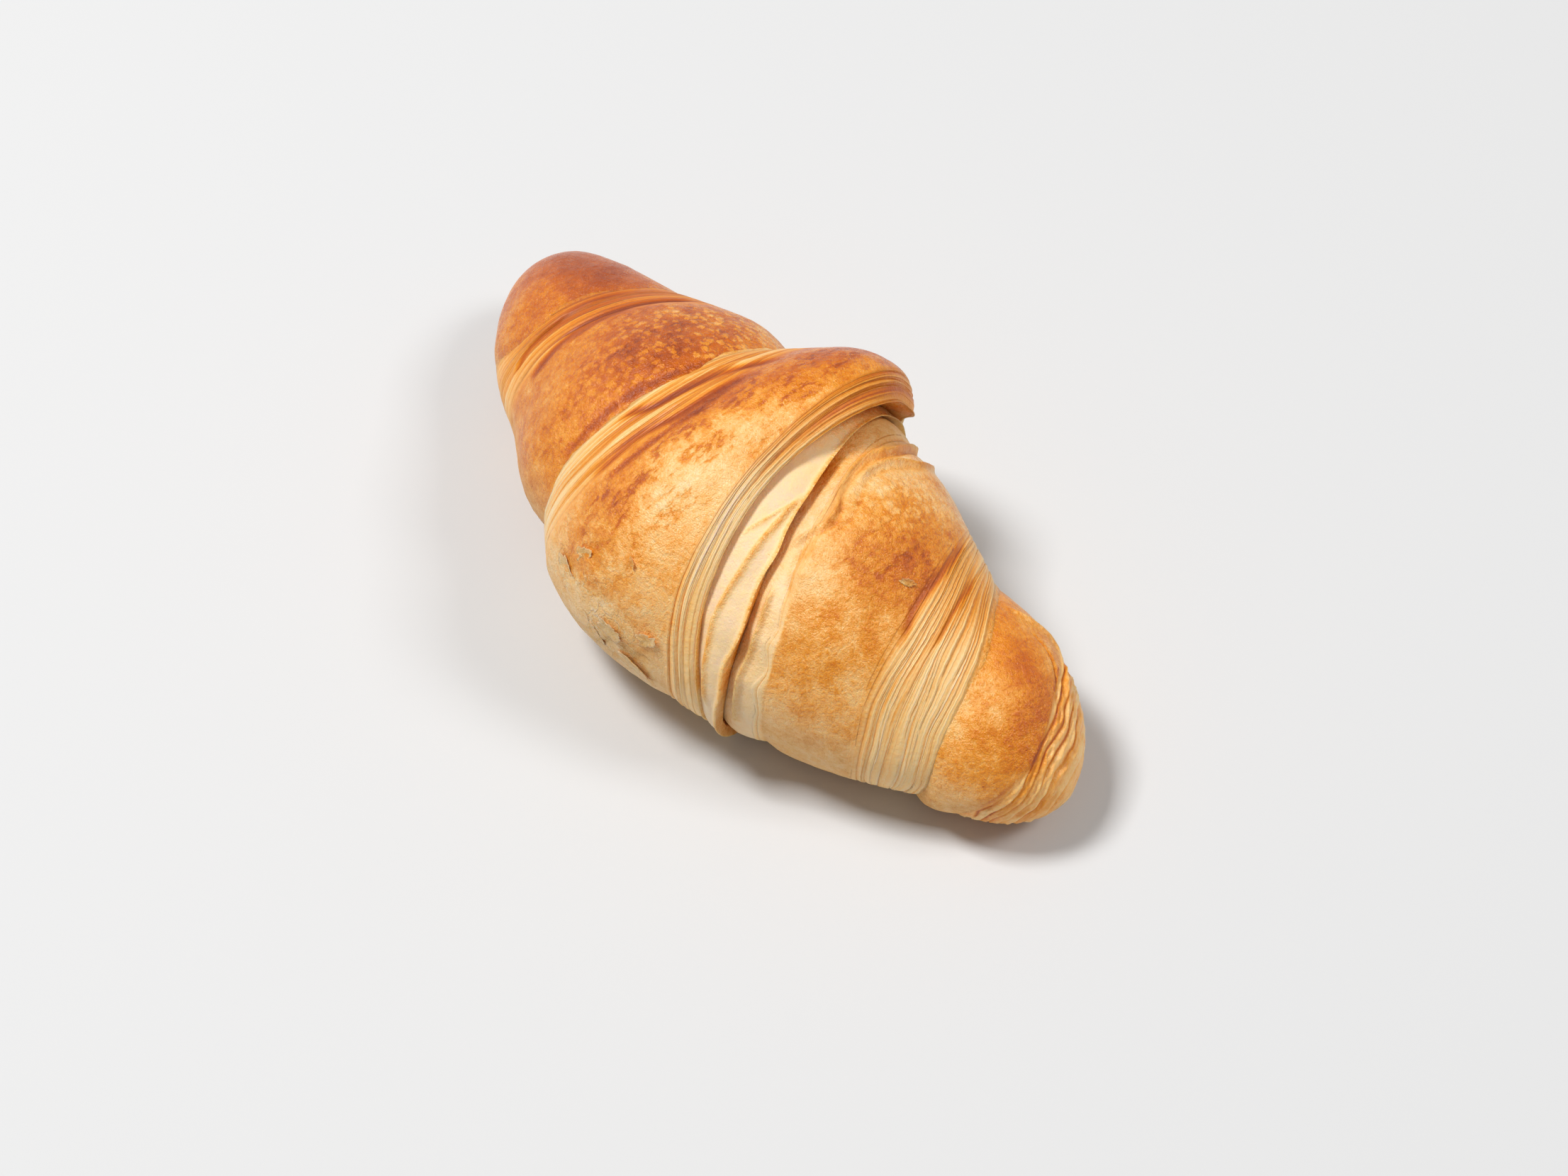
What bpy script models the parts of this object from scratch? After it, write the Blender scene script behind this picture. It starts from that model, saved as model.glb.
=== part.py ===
"""A plain butter croissant, baked and lying flat: one solid of rolled, laminated dough.

The roll lies along X and rests on z = 0. Its skin is one loft: rings of points stand side by side
along the roll, and each ring goes once round it. Five wraps of the dough show, and each wrap ends
in the cut edge of the sheet, where its thin layers step down to the wrap beside it:

    tail - cut edge - shoulder - groove - cut edge - crown - cut edge with an overhanging lip -
    inner sheet - valley - folded rim - flank - cut edge - nose - open layers at the end

Lengths are in millimetres until the mesh is made. Round the roll, an angle of 0 is on top, +90 at
the front (-Y), -90 at the back (+Y) and 180 underneath.
"""

from dataclasses import dataclass

import bmesh
import bpy
import numpy as np

MM = 0.001

# The body that the wraps are laid on, at eleven stations from the left tip to the right one.
LENGTH = 168.0
HALF_WIDTHS = (19.8, 21.8, 24.6, 29.0, 32.6, 34.6, 33.0, 30.4, 25.0, 20.2, 15.5)
BOWS = (12.0, 7.5, 5.2, 1.9, 0.0, -1.0, -0.8, 0.9, 6.0, 10.4, 11.4)
LEFT_ROUNDNESS = 5
RIGHT_ROUNDNESS = 12
HEIGHT_TO_WIDTH = 0.84
CENTRE_TO_HEIGHT = 0.90
FADE_RADIUS = 9.0

# How finely the loft is divided.
RING_POINTS = 48
STATION_DEG = 45.0


@dataclass(frozen=True)
class Edge:
    """A line that runs once round the roll, given at eight stations 45 degrees apart.

    The stations start underneath and go round by the back: -180, -135, -90 (back), -45, 0 (top),
    45, 90 (front), 135. along is the place on the roll's length and relief the height above the
    body.
    """

    along: tuple
    relief: tuple


@dataclass(frozen=True)
class Stretch:
    """The skin between two edges.

    rings is how many rings it has, bulge its height in the middle, and steps the number of equal
    steps in which it goes from one edge's height to the other's, or 0 for a plain slope.
    """

    start: Edge
    end: Edge
    rings: int
    bulge: float = 0.0
    steps: int = 0


LEFT_TIP = Edge((-LENGTH / 2,) * 8, (0.0,) * 8)
TAIL_RIM = Edge(
    (-52, -42, -39.5, -45.5, -56.5, -64.5, -68, -65),
    (0.0, -0.3, -0.6, -0.8, -0.8, -0.6, -0.2, 0.0),
)
SHOULDER_RIM = Edge(
    (-40, -31, -31, -37.5, -45.5, -50, -50, -47),
    (0.1, 0.7, 1.4, 1.6, 1.4, 1.2, 0.2, -0.4),
)
SHOULDER_GROOVE = Edge(
    (-22, -18.5, -19, -19, -20.5, -24, -26.5, -27),
    (0.0, -0.6, -0.8, -1.2, -1.9, -1.8, -1.6, -0.8),
)
CROWN_LEFT_RIM = Edge(
    (-16, -13, -11.5, -9.5, -10.2, -14.5, -18, -19),
    (0.1, 2.8, 6.4, 5.4, 1.9, 1.2, 2.6, 2.0),
)
CROWN_RIGHT_RIM = Edge(
    (8, 2, 2.5, 6, 11.4, 16.4, 20, 15),
    (0.1, 3.6, 9.8, 11.6, 3.6, 2.0, 1.3, 0.6),
)
LIP = Edge(
    (15, 6.4, 7.4, 12, 16, 21.4, 28, 24),
    (0.0, 1.0, 7.0, 8.2, 0.9, -0.2, 0.4, 1.0),
)
LIP_ROOT = Edge(
    (15.6, 7.2, 2.4, 5.6, 14.2, 20.6, 27.6, 24.4),
    (0.0, -0.2, 1.6, 0.8, -1.4, -2.0, -1.2, 0.2),
)
INNER_SHEET_EDGE = Edge(
    (18, 9.4, 7.4, 11, 20.6, 29.6, 32.3, 28),
    (0.0, -0.4, 1.6, 0.6, -1.6, -2.0, -0.2, 1.4),
)
VALLEY = Edge(
    (19.5, 10.6, 9.2, 12.4, 21.8, 31.4, 34.2, 30),
    (0.0, -0.6, 0.8, -0.4, -4.4, -4.6, -2.4, 0.4),
)
FLANK_LEFT_RIM = Edge(
    (22, 12.8, 11.8, 14.6, 24.4, 34.6, 37.2, 33),
    (0.0, -0.4, 1.2, 0.2, -1.8, -1.2, -0.9, -0.2),
)
FLANK_FOLD = Edge(
    (25, 16, 15.5, 18, 27.2, 36.6, 39, 35),
    (0.0, -0.5, 0.4, 0.1, 0.3, -0.2, -1.0, -0.8),
)
FLANK_RIGHT_RIM = Edge(
    (40, 30, 31, 38.5, 46.5, 52, 54.6, 50),
    (0.1, 0.6, 0.8, 0.9, 1.2, 1.1, 0.6, 0.3),
)
NOSE_GROOVE = Edge(
    (51, 39.5, 41.5, 50.5, 60.6, 65.6, 66.6, 61),
    (0.0, -0.8, -1.8, -2.0, -1.7, -1.3, -1.6, -0.9),
)
NOSE_RIM = Edge(
    (60, 54, 57, 68, 77.6, 78.6, 73, 66),
    (0.0, -0.2, -0.2, 0.2, 0.5, 0.5, 0.0, -0.2),
)
RIGHT_TIP = Edge((LENGTH / 2,) * 8, (0.0,) * 8)

STRETCHES = (
    Stretch(LEFT_TIP, TAIL_RIM, 11, bulge=1.0),
    Stretch(TAIL_RIM, SHOULDER_RIM, 8, steps=2),
    Stretch(SHOULDER_RIM, SHOULDER_GROOVE, 9, bulge=1.3),
    Stretch(SHOULDER_GROOVE, CROWN_LEFT_RIM, 6, steps=2),
    Stretch(CROWN_LEFT_RIM, CROWN_RIGHT_RIM, 9, bulge=1.2),
    Stretch(CROWN_RIGHT_RIM, LIP, 5, steps=1),
    Stretch(LIP, LIP_ROOT, 2),
    Stretch(LIP_ROOT, INNER_SHEET_EDGE, 5, bulge=0.8),
    Stretch(INNER_SHEET_EDGE, VALLEY, 2),
    Stretch(VALLEY, FLANK_LEFT_RIM, 2),
    Stretch(FLANK_LEFT_RIM, FLANK_FOLD, 2),
    Stretch(FLANK_FOLD, FLANK_RIGHT_RIM, 7, bulge=1.0),
    Stretch(FLANK_RIGHT_RIM, NOSE_GROOVE, 9, steps=3),
    Stretch(NOSE_GROOVE, NOSE_RIM, 7, bulge=1.1),
    Stretch(NOSE_RIM, RIGHT_TIP, 8, steps=2),
)


def smoothstep(t):
    """Eases t from 0 to 1 with no kink at either end."""
    return t * t * (3.0 - 2.0 * t)


def curve_through(before, here, after, beyond, t):
    """Catmull-Rom curve between two values, here at t = 0 and after at t = 1."""
    return here + 0.5 * t * (
        after - before
        + t * (2 * before - 5 * here + 4 * after - beyond
               + t * (3 * (here - after) + beyond - before))
    )


def round_the_roll(stations, angle):
    """Reads an edge's eight stations at each angle, in degrees, by a closed curve."""
    values = np.asarray(stations, float)
    place = (angle + 180.0) / STATION_DEG
    index = np.floor(place).astype(int)
    corners = (values[(index + k) % len(values)] for k in (-1, 0, 1, 2))
    return curve_through(*corners, place - index)


def down_the_roll(stations, along):
    """Reads stations that run from tip to tip at each place on the roll's length."""
    values = np.asarray(stations, float)
    last = len(values) - 1
    place = np.clip(along / LENGTH + 0.5, 0.0, 1.0) * last
    index = np.minimum(np.floor(place).astype(int), last - 1)
    corners = (values[np.clip(index + k, 0, last)] for k in (-1, 0, 1, 2))
    return curve_through(*corners, place - index)


def skin_point(along, relief, angle):
    """The point of the skin at a place, a height above the body and an angle round the roll."""
    straight = down_the_roll(HALF_WIDTHS, along)
    share = np.clip(np.abs(2.0 * along / LENGTH), 0.0, 1.0)
    roundness = np.where(along < 0, LEFT_ROUNDNESS, RIGHT_ROUNDNESS)
    width = straight * np.sqrt(1.0 - share**roundness)
    raised = relief * np.clip(width / FADE_RADIUS, 0.0, 1.0)
    turn = np.radians(angle)
    across = down_the_roll(BOWS, along) - (width + raised) * np.sin(turn)
    centre = CENTRE_TO_HEIGHT * HEIGHT_TO_WIDTH * straight
    up = centre + (HEIGHT_TO_WIDTH * width + raised) * np.cos(turn)
    return np.stack([along, across, np.maximum(up, 0.0)], axis=-1)


def stretch_rings(stretch, angle):
    """The rings of one stretch, each a row of points, from just after its start to its end."""
    t = np.linspace(0.0, 1.0, stretch.rings + 1)[1:, None]
    starts = round_the_roll(stretch.start.along, angle)
    ends = round_the_roll(stretch.end.along, angle)
    pace = t
    if stretch.start is LEFT_TIP:
        pace = 1.0 - np.cos(t * np.pi / 2)
    if stretch.end is RIGHT_TIP:
        pace = np.sin(t * np.pi / 2)
    along = starts + (ends - starts) * pace
    fall = t
    if stretch.steps:
        count = t * stretch.steps
        fall = (np.floor(count) + smoothstep(count % 1.0)) / stretch.steps
        fall[-1] = 1.0
    low = round_the_roll(stretch.start.relief, angle)
    high = round_the_roll(stretch.end.relief, angle)
    pillow = stretch.bulge * (1.0 - (2.0 * t - 1.0) ** 2)
    return skin_point(along, low + (high - low) * fall + pillow, angle)


def croissant_mesh():
    """Lofts the skin through all the rings and closes it with a point at each tip."""
    angle = np.arange(RING_POINTS) * 360.0 / RING_POINTS - 180.0
    rings = np.concatenate([stretch_rings(stretch, angle) for stretch in STRETCHES])[:-1]
    tips = skin_point(np.array([-0.5, 0.5]) * LENGTH, 0.0, 0.0)
    corners = np.concatenate([rings.reshape(-1, 3), tips])
    low, high = corners.min(axis=0), corners.max(axis=0)
    stand = np.array([(low[0] + high[0]) / 2, (low[1] + high[1]) / 2, low[2]])

    mesh = bmesh.new()
    placed = [mesh.verts.new(point) for point in (corners - stand) * MM]
    loops = [placed[i : i + RING_POINTS] for i in range(0, len(placed) - 2, RING_POINTS)]
    left_tip, right_tip = placed[-2:]
    for near, far in zip(loops, loops[1:]):
        for k in range(RING_POINTS):
            after = (k + 1) % RING_POINTS
            mesh.faces.new((near[k], far[k], far[after], near[after]))
    for k in range(RING_POINTS):
        after = (k + 1) % RING_POINTS
        mesh.faces.new((left_tip, loops[0][k], loops[0][after]))
        mesh.faces.new((right_tip, loops[-1][after], loops[-1][k]))
    bmesh.ops.recalc_face_normals(mesh, faces=mesh.faces)
    return mesh


def crust_material():
    """Egg-washed, golden crust."""
    material = bpy.data.materials.new("golden_crust")
    material.use_nodes = True
    shader = material.node_tree.nodes["Principled BSDF"]
    shader.inputs["Base Color"].default_value = (0.72, 0.36, 0.11, 1.0)
    shader.inputs["Roughness"].default_value = 0.45
    shader.inputs["Metallic"].default_value = 0.0
    return material


def main():
    """Clears the scene and makes the croissant."""
    for old in list(bpy.data.objects):
        bpy.data.objects.remove(old)
    mesh = croissant_mesh()
    data = bpy.data.meshes.new("croissant")
    mesh.to_mesh(data)
    mesh.free()
    data.materials.append(crust_material())
    data.shade_smooth()
    croissant = bpy.data.objects.new("croissant", data)
    bpy.context.scene.collection.objects.link(croissant)


main()
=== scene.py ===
"""Looks of a butter croissant: rolled, laminated dough with a golden, egg-washed crust.

The croissant lies along X and rests on z = 0. Six wraps of dough overlap from the left tip to the
right one, and each is one closed skin, tucked under its neighbours. Where a wrap's sheet was cut,
its thin leaves show. Lengths are in millimetres until a mesh is made. Round the roll, an angle of
0 is on top, +90 at the front (-Y), -90 at the back (+Y) and 180 underneath.
"""

import logging
from dataclasses import dataclass, field
from enum import Enum
from functools import cached_property
from typing import Any, ClassVar

import bpy
import numpy as np
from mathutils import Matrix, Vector


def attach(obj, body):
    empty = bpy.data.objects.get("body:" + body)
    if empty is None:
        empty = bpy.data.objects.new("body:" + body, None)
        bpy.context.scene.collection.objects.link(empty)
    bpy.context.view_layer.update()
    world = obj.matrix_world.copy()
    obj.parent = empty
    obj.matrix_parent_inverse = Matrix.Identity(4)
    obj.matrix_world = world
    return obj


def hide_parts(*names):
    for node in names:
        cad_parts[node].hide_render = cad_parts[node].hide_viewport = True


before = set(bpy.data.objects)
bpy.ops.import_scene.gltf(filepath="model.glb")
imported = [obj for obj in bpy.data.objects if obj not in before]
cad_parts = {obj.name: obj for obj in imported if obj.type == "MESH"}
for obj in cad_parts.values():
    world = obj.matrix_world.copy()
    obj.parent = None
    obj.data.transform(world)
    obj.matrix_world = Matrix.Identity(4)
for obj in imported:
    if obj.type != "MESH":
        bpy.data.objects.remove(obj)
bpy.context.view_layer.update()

log = logging.getLogger("croissant")

Array = np.ndarray

NODE = "croissant"
BODY = "root"

MM = 0.001
STATION_DEG = 45.0
GIRTH_RADIUS = 28.0
MERGE_DISTANCE = 0.000002


# ---------------------------------------------------------------------------------------------
# Curves, relief and the body of the roll
# ---------------------------------------------------------------------------------------------


def smoothstep(t: Array) -> Array:
    """Eases t from 0 to 1 with no kink at either end."""
    return t * t * (3.0 - 2.0 * t)


def ramp(value: Array, low: float, high: float) -> Array:
    """Goes smoothly from 0 where value is low to 1 where it is high."""
    return smoothstep(np.clip((value - low) / (high - low), 0.0, 1.0))


def curve_through(before: Array, here: Array, after: Array, beyond: Array, t: Array) -> Array:
    """Catmull-Rom curve between two values.

    Args:
        before: The value ahead of here.
        here: The value at t = 0.
        after: The value at t = 1.
        beyond: The value behind after.
        t: The place between here and after.

    Returns:
        The values on the curve.
    """
    return here + 0.5 * t * (
        after - before
        + t * (2 * before - 5 * here + 4 * after - beyond
               + t * (3 * (here - after) + beyond - before))
    )


def round_the_roll(stations: tuple[float, ...], angle: Array) -> Array:
    """Reads values given every 45 degrees from underneath, by a closed curve.

    Args:
        stations: Eight values, from -180 degrees by the back, the top and the front.
        angle: The angles to read at, in degrees.

    Returns:
        One value for each angle.
    """
    values = np.asarray(stations, float)
    place = (angle + 180.0) / STATION_DEG
    index = np.floor(place).astype(int)
    corners = (values[(index + k) % len(values)] for k in (-1, 0, 1, 2))
    return curve_through(*corners, place - index)


class Unevenness:
    """Smooth random relief in space, the same on every run."""

    CELLS: ClassVar[int] = 48

    def __init__(self, seed: int) -> None:
        """Fills the lattice that the relief is read from."""
        shape = (self.CELLS,) * 3
        self.lattice = np.random.default_rng(seed).uniform(-1.0, 1.0, shape)

    def at(self, points: Array, size: float) -> Array:
        """Reads the relief.

        Args:
            points: Places in millimetres, with x, y and z in the last axis.
            size: The width of the lumps, in millimetres.

        Returns:
            Values between -1 and 1.
        """
        place = points / size
        base = np.floor(place).astype(int)
        part = smoothstep(place - base)
        total = np.zeros(points.shape[:-1])
        for corner in np.ndindex(2, 2, 2):
            index = (base + np.array(corner)) % self.CELLS
            weight = np.where(corner, part, 1.0 - part).prod(axis=-1)
            total += weight * self.lattice[index[..., 0], index[..., 1], index[..., 2]]
        return total

    def rough(self, points: Array, size: float, layers: int = 3) -> Array:
        """Adds finer and finer relief, each layer half as wide and half as high."""
        return sum(self.at(points + 7.3 * k, size / 2**k) / 2**k for k in range(layers))

    def round_the_girth(self, angle: Array, number: float, size: float) -> Array:
        """Reads relief along a ring, so that it meets itself underneath.

        Args:
            angle: The angles round the roll, in degrees.
            number: Which ring it is; each number has its own relief.
            size: The width of the lumps, in millimetres.

        Returns:
            One value between -1 and 1 for each angle.
        """
        turn = np.radians(angle)
        ring = np.stack([np.cos(turn), np.sin(turn), np.zeros_like(turn)], -1) * GIRTH_RADIUS
        ring[..., 2] = number * 3.7 * size
        return self.at(ring, size)


@dataclass(frozen=True)
class Body:
    """The roll that the wraps are laid on, with the sizes of the solid."""

    length: float = 168.0
    half_widths: tuple[float, ...] = (
        19.8, 21.8, 24.6, 29.0, 32.6, 34.6, 33.0, 30.4, 25.0, 20.2, 15.5,
    )
    bows: tuple[float, ...] = (12.0, 7.5, 5.2, 1.9, 0.0, -1.0, -0.8, 0.9, 6.0, 10.4, 11.4)
    left_roundness: float = 5.0
    right_roundness: float = 12.0
    height_to_width: float = 0.84
    centre_to_height: float = 0.90
    fade_radius: float = 9.0

    def down_the_roll(self, stations: tuple[float, ...], along: Array) -> Array:
        """Reads values given at even steps from the left tip to the right one."""
        values = np.asarray(stations, float)
        last = len(values) - 1
        place = np.clip(along / self.length + 0.5, 0.0, 1.0) * last
        index = np.minimum(np.floor(place).astype(int), last - 1)
        corners = (values[np.clip(index + k, 0, last)] for k in (-1, 0, 1, 2))
        return curve_through(*corners, place - index)

    def point(self, along: Array, relief: Array, angle: Array, floor: Array | float) -> Array:
        """Finds points of the skin.

        Args:
            along: Places on the roll's length.
            relief: Heights above the body.
            angle: Angles round the roll, in degrees.
            floor: The lowest height that the points may have.

        Returns:
            The points in millimetres, with x, y and z in the last axis.
        """
        straight = self.down_the_roll(self.half_widths, along)
        share = np.clip(np.abs(2.0 * along / self.length), 0.0, 1.0)
        roundness = np.where(along < 0, self.left_roundness, self.right_roundness)
        width = straight * np.sqrt(1.0 - share**roundness)
        raised = relief * np.clip(width / self.fade_radius, 0.0, 1.0)
        turn = np.radians(angle)
        across = self.down_the_roll(self.bows, along) - (width + raised) * np.sin(turn)
        centre = self.centre_to_height * self.height_to_width * straight
        up = centre + (self.height_to_width * width + raised) * np.cos(turn)
        return np.stack([along, across + self.sideways, np.maximum(up, floor)], axis=-1)

    @cached_property
    def sideways(self) -> float:
        """How far the solid was moved along Y to stand centred, read from its left tip."""
        corners = np.array([v.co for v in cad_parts[NODE].data.vertices])
        tip = corners[np.argmin(corners[:, 0])]
        return float(tip[1] / MM - self.bows[0])


ROLL = Body()


# ---------------------------------------------------------------------------------------------
# Edges, courses of rows, and cut leaves
# ---------------------------------------------------------------------------------------------


@dataclass(frozen=True)
class Nudge:
    """A local shift of an edge, at an angle and with a half width in degrees."""

    angle: float
    half_width: float
    along: float = 0.0
    relief: float = 0.0


@dataclass(frozen=True)
class Edge:
    """A line once round the roll, given at eight stations from underneath by the back.

    along is the place on the roll's length, and relief the height above the body.
    """

    along: tuple[float, ...]
    relief: tuple[float, ...]
    nudges: tuple[Nudge, ...] = ()

    def line(self, angle: Array) -> "Line":
        """Reads the edge at each angle."""
        along = round_the_roll(self.along, angle)
        relief = round_the_roll(self.relief, angle)
        for nudge in self.nudges:
            near = np.exp(-(((angle - nudge.angle) / nudge.half_width) ** 2))
            along = along + nudge.along * near
            relief = relief + nudge.relief * near
        return Line(along, relief)


@dataclass
class Line:
    """An edge read at every column of a wrap."""

    along: Array
    relief: Array

    def moved(self, along: Array | float = 0.0, relief: Array | float = 0.0) -> "Line":
        """The same line, moved along the roll and up."""
        return Line(self.along + along, self.relief + relief)


TAIL_RIM = Edge(
    (-52, -45, -46, -51.5, -57.2, -62.0, -66, -63),
    (0.0, -0.3, -0.3, -0.2, -0.3, -0.5, -0.2, 0.0),
)
SHOULDER_RIM = Edge(
    (-40, -31, -31, -37.5, -45.5, -50, -50, -47),
    (0.1, 0.7, 1.4, 1.6, 1.4, 1.2, 0.2, -0.4),
)
SHOULDER_GROOVE = Edge(
    (-22, -18.5, -19, -19, -20.5, -24, -26.5, -27),
    (0.0, -0.6, -0.8, -1.2, -1.9, -1.8, -1.6, -0.8),
)
CROWN_LEFT_RIM = Edge(
    (-16, -13, -11.0, -8.8, -8.0, -12.0, -16.4, -18),
    (0.1, 2.8, 6.4, 5.4, 1.9, 1.2, 2.6, 2.0),
)
CROWN_RIGHT_RIM = Edge(
    (8, 2, 2.2, 6.2, 9.4, 15.4, 20, 15),
    (0.1, 2.4, 7.6, 11.6, 3.6, 2.0, 1.3, 0.6),
)
LIP = Edge(
    (15, 5.4, 4.6, 12.0, 13.6, 20.6, 27.5, 24),
    (0.0, 0.2, 2.6, 8.2, 0.9, -0.2, 0.4, 1.0),
    (Nudge(-64, 8, along=2.6, relief=0.4),),
)
LIP_ROOT = Edge(
    (15.0, 5.4, 1.4, 5.0, 12.0, 19.8, 27.2, 24.0),
    (0.0, -0.4, 1.6, 1.4, -1.4, -2.0, -1.2, 0.2),
)
INNER_SHEET_EDGE = Edge(
    (18, 9.4, 7.4, 11, 20.6, 29.2, 31.8, 28),
    (0.0, -0.2, 3.2, 2.0, -1.4, -1.6, 0.0, 1.4),
    (Nudge(18, 6, along=0.5), Nudge(33, 6, along=-0.4), Nudge(52, 7, along=0.6, relief=0.5),
     Nudge(67, 6, along=-0.5), Nudge(82, 6, along=0.4)),
)
VALLEY = Edge(
    (19.5, 10.6, 9.2, 12.4, 22.0, 31.4, 34.2, 30),
    (0.0, -0.4, 2.8, 1.0, -3.6, -3.6, -2.4, 0.4),
    (Nudge(-12, 15, relief=-2.0),),
)
FLANK_LEFT_RIM = Edge(
    (22, 12.8, 11.8, 14.6, 24.4, 34.6, 37.2, 33),
    (0.0, -0.2, 3.2, 1.8, -1.8, -1.2, -0.9, -0.2),
    (Nudge(40, 4, along=0.5), Nudge(49, 4, along=-0.6, relief=0.3), Nudge(59, 5, along=0.6),
     Nudge(70, 5, along=-0.7, relief=0.3), Nudge(84, 5, along=0.5)),
)
FLANK_FOLD = Edge(
    (25, 16, 15.5, 18, 27.2, 36.6, 39, 35),
    (0.0, -0.3, 2.6, 1.6, 0.3, -0.2, -1.0, -0.8),
)
FLANK_RIGHT_RIM = Edge(
    (40, 30, 31, 38.5, 46.5, 52, 54.6, 50),
    (0.1, 0.6, 0.8, 0.9, 1.2, 1.1, 0.6, 0.3),
)
NOSE_GROOVE = Edge(
    (51, 39.5, 41.5, 50.5, 60.6, 65.6, 66.6, 61),
    (0.0, -0.8, -1.8, -2.0, -1.7, -1.3, -1.6, -0.9),
)
NOSE_RIM = Edge(
    (60, 54, 57, 68, 77.6, 79.0, 75.5, 67),
    (0.0, -0.2, -0.2, 0.2, 0.5, 0.5, 0.0, -0.2),
)
LEFT_TIP = Edge((-84.0,) * 8, (0.0,) * 8)
RIGHT_TIP = Edge((84.0,) * 8, (0.0,) * 8)


@dataclass
class Course:
    """Neighbouring rows of a wrap, each going once round the roll.

    leaf is 1 where cut leaves show. order counts the leaves and runs on across them. shade is
    how much browner the dough is for its place in its leaf or on the skin: partly its own tones
    and lines of browning, partly painted shade in gaps and recesses and painted highlights on the
    leaves' free edges. fade goes from 0 at the rim of a cut to 1 at its foot. ahead is how far
    the rows stand out towards +X.
    """

    along: Array
    relief: Array
    leaf: Array | float = 0.0
    order: Array | float = 0.5
    shade: Array | float = 0.0
    fade: Array | float = 0.0
    floor: Array | float = 0.0
    ahead: Array | float = 0.0

    def full(self, name: str) -> Array:
        """One of the course's values, spread over all its rows and columns."""
        return np.broadcast_to(getattr(self, name), self.along.shape)

    def turned(self) -> "Course":
        """The same rows in the opposite order."""
        values = {n: self.full(n)[::-1] for n in self.__dataclass_fields__}
        return Course(**values)


def span(start: Line, end: Line, rows: int, bulge: float = 0.0, first: bool = False) -> Course:
    """Plain skin between two lines.

    Args:
        start: Where the rows start.
        end: Where they end.
        rows: How many rows there are.
        bulge: How high the skin stands in the middle.
        first: Whether the start line is a row too.

    Returns:
        The rows of skin.
    """
    t = np.linspace(0.0, 1.0, rows + 1)[0 if first else 1:, None]
    along = start.along + (end.along - start.along) * t
    relief = start.relief + (end.relief - start.relief) * t
    return Course(along, relief + bulge * (1.0 - (2.0 * t - 1.0) ** 2))


@dataclass(frozen=True)
class Tuck:
    """How a skin goes on under its neighbour: level for a bit, and then down."""

    level: float = 1.6
    reach: float = 4.5
    depth: float = 4.5
    rows: int = 6
    lift: float = 0.6

    def under(self, line: Line, way: int) -> Course:
        """Rows that leave a line and dive under what lies beside it.

        Args:
            line: Where the rows leave the shown skin.
            way: 1 to go on towards +X, -1 towards -X.

        Returns:
            The rows, from the line outwards.
        """
        t = np.linspace(0.0, 1.0, self.rows + 1)[1:, None]
        along = line.along + way * self.reach * t
        fall = np.clip(t * self.reach - self.level, 0.0, None) / (self.reach - self.level)
        return Course(along, line.relief - self.depth * fall**1.3, floor=self.lift * smoothstep(t))


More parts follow.
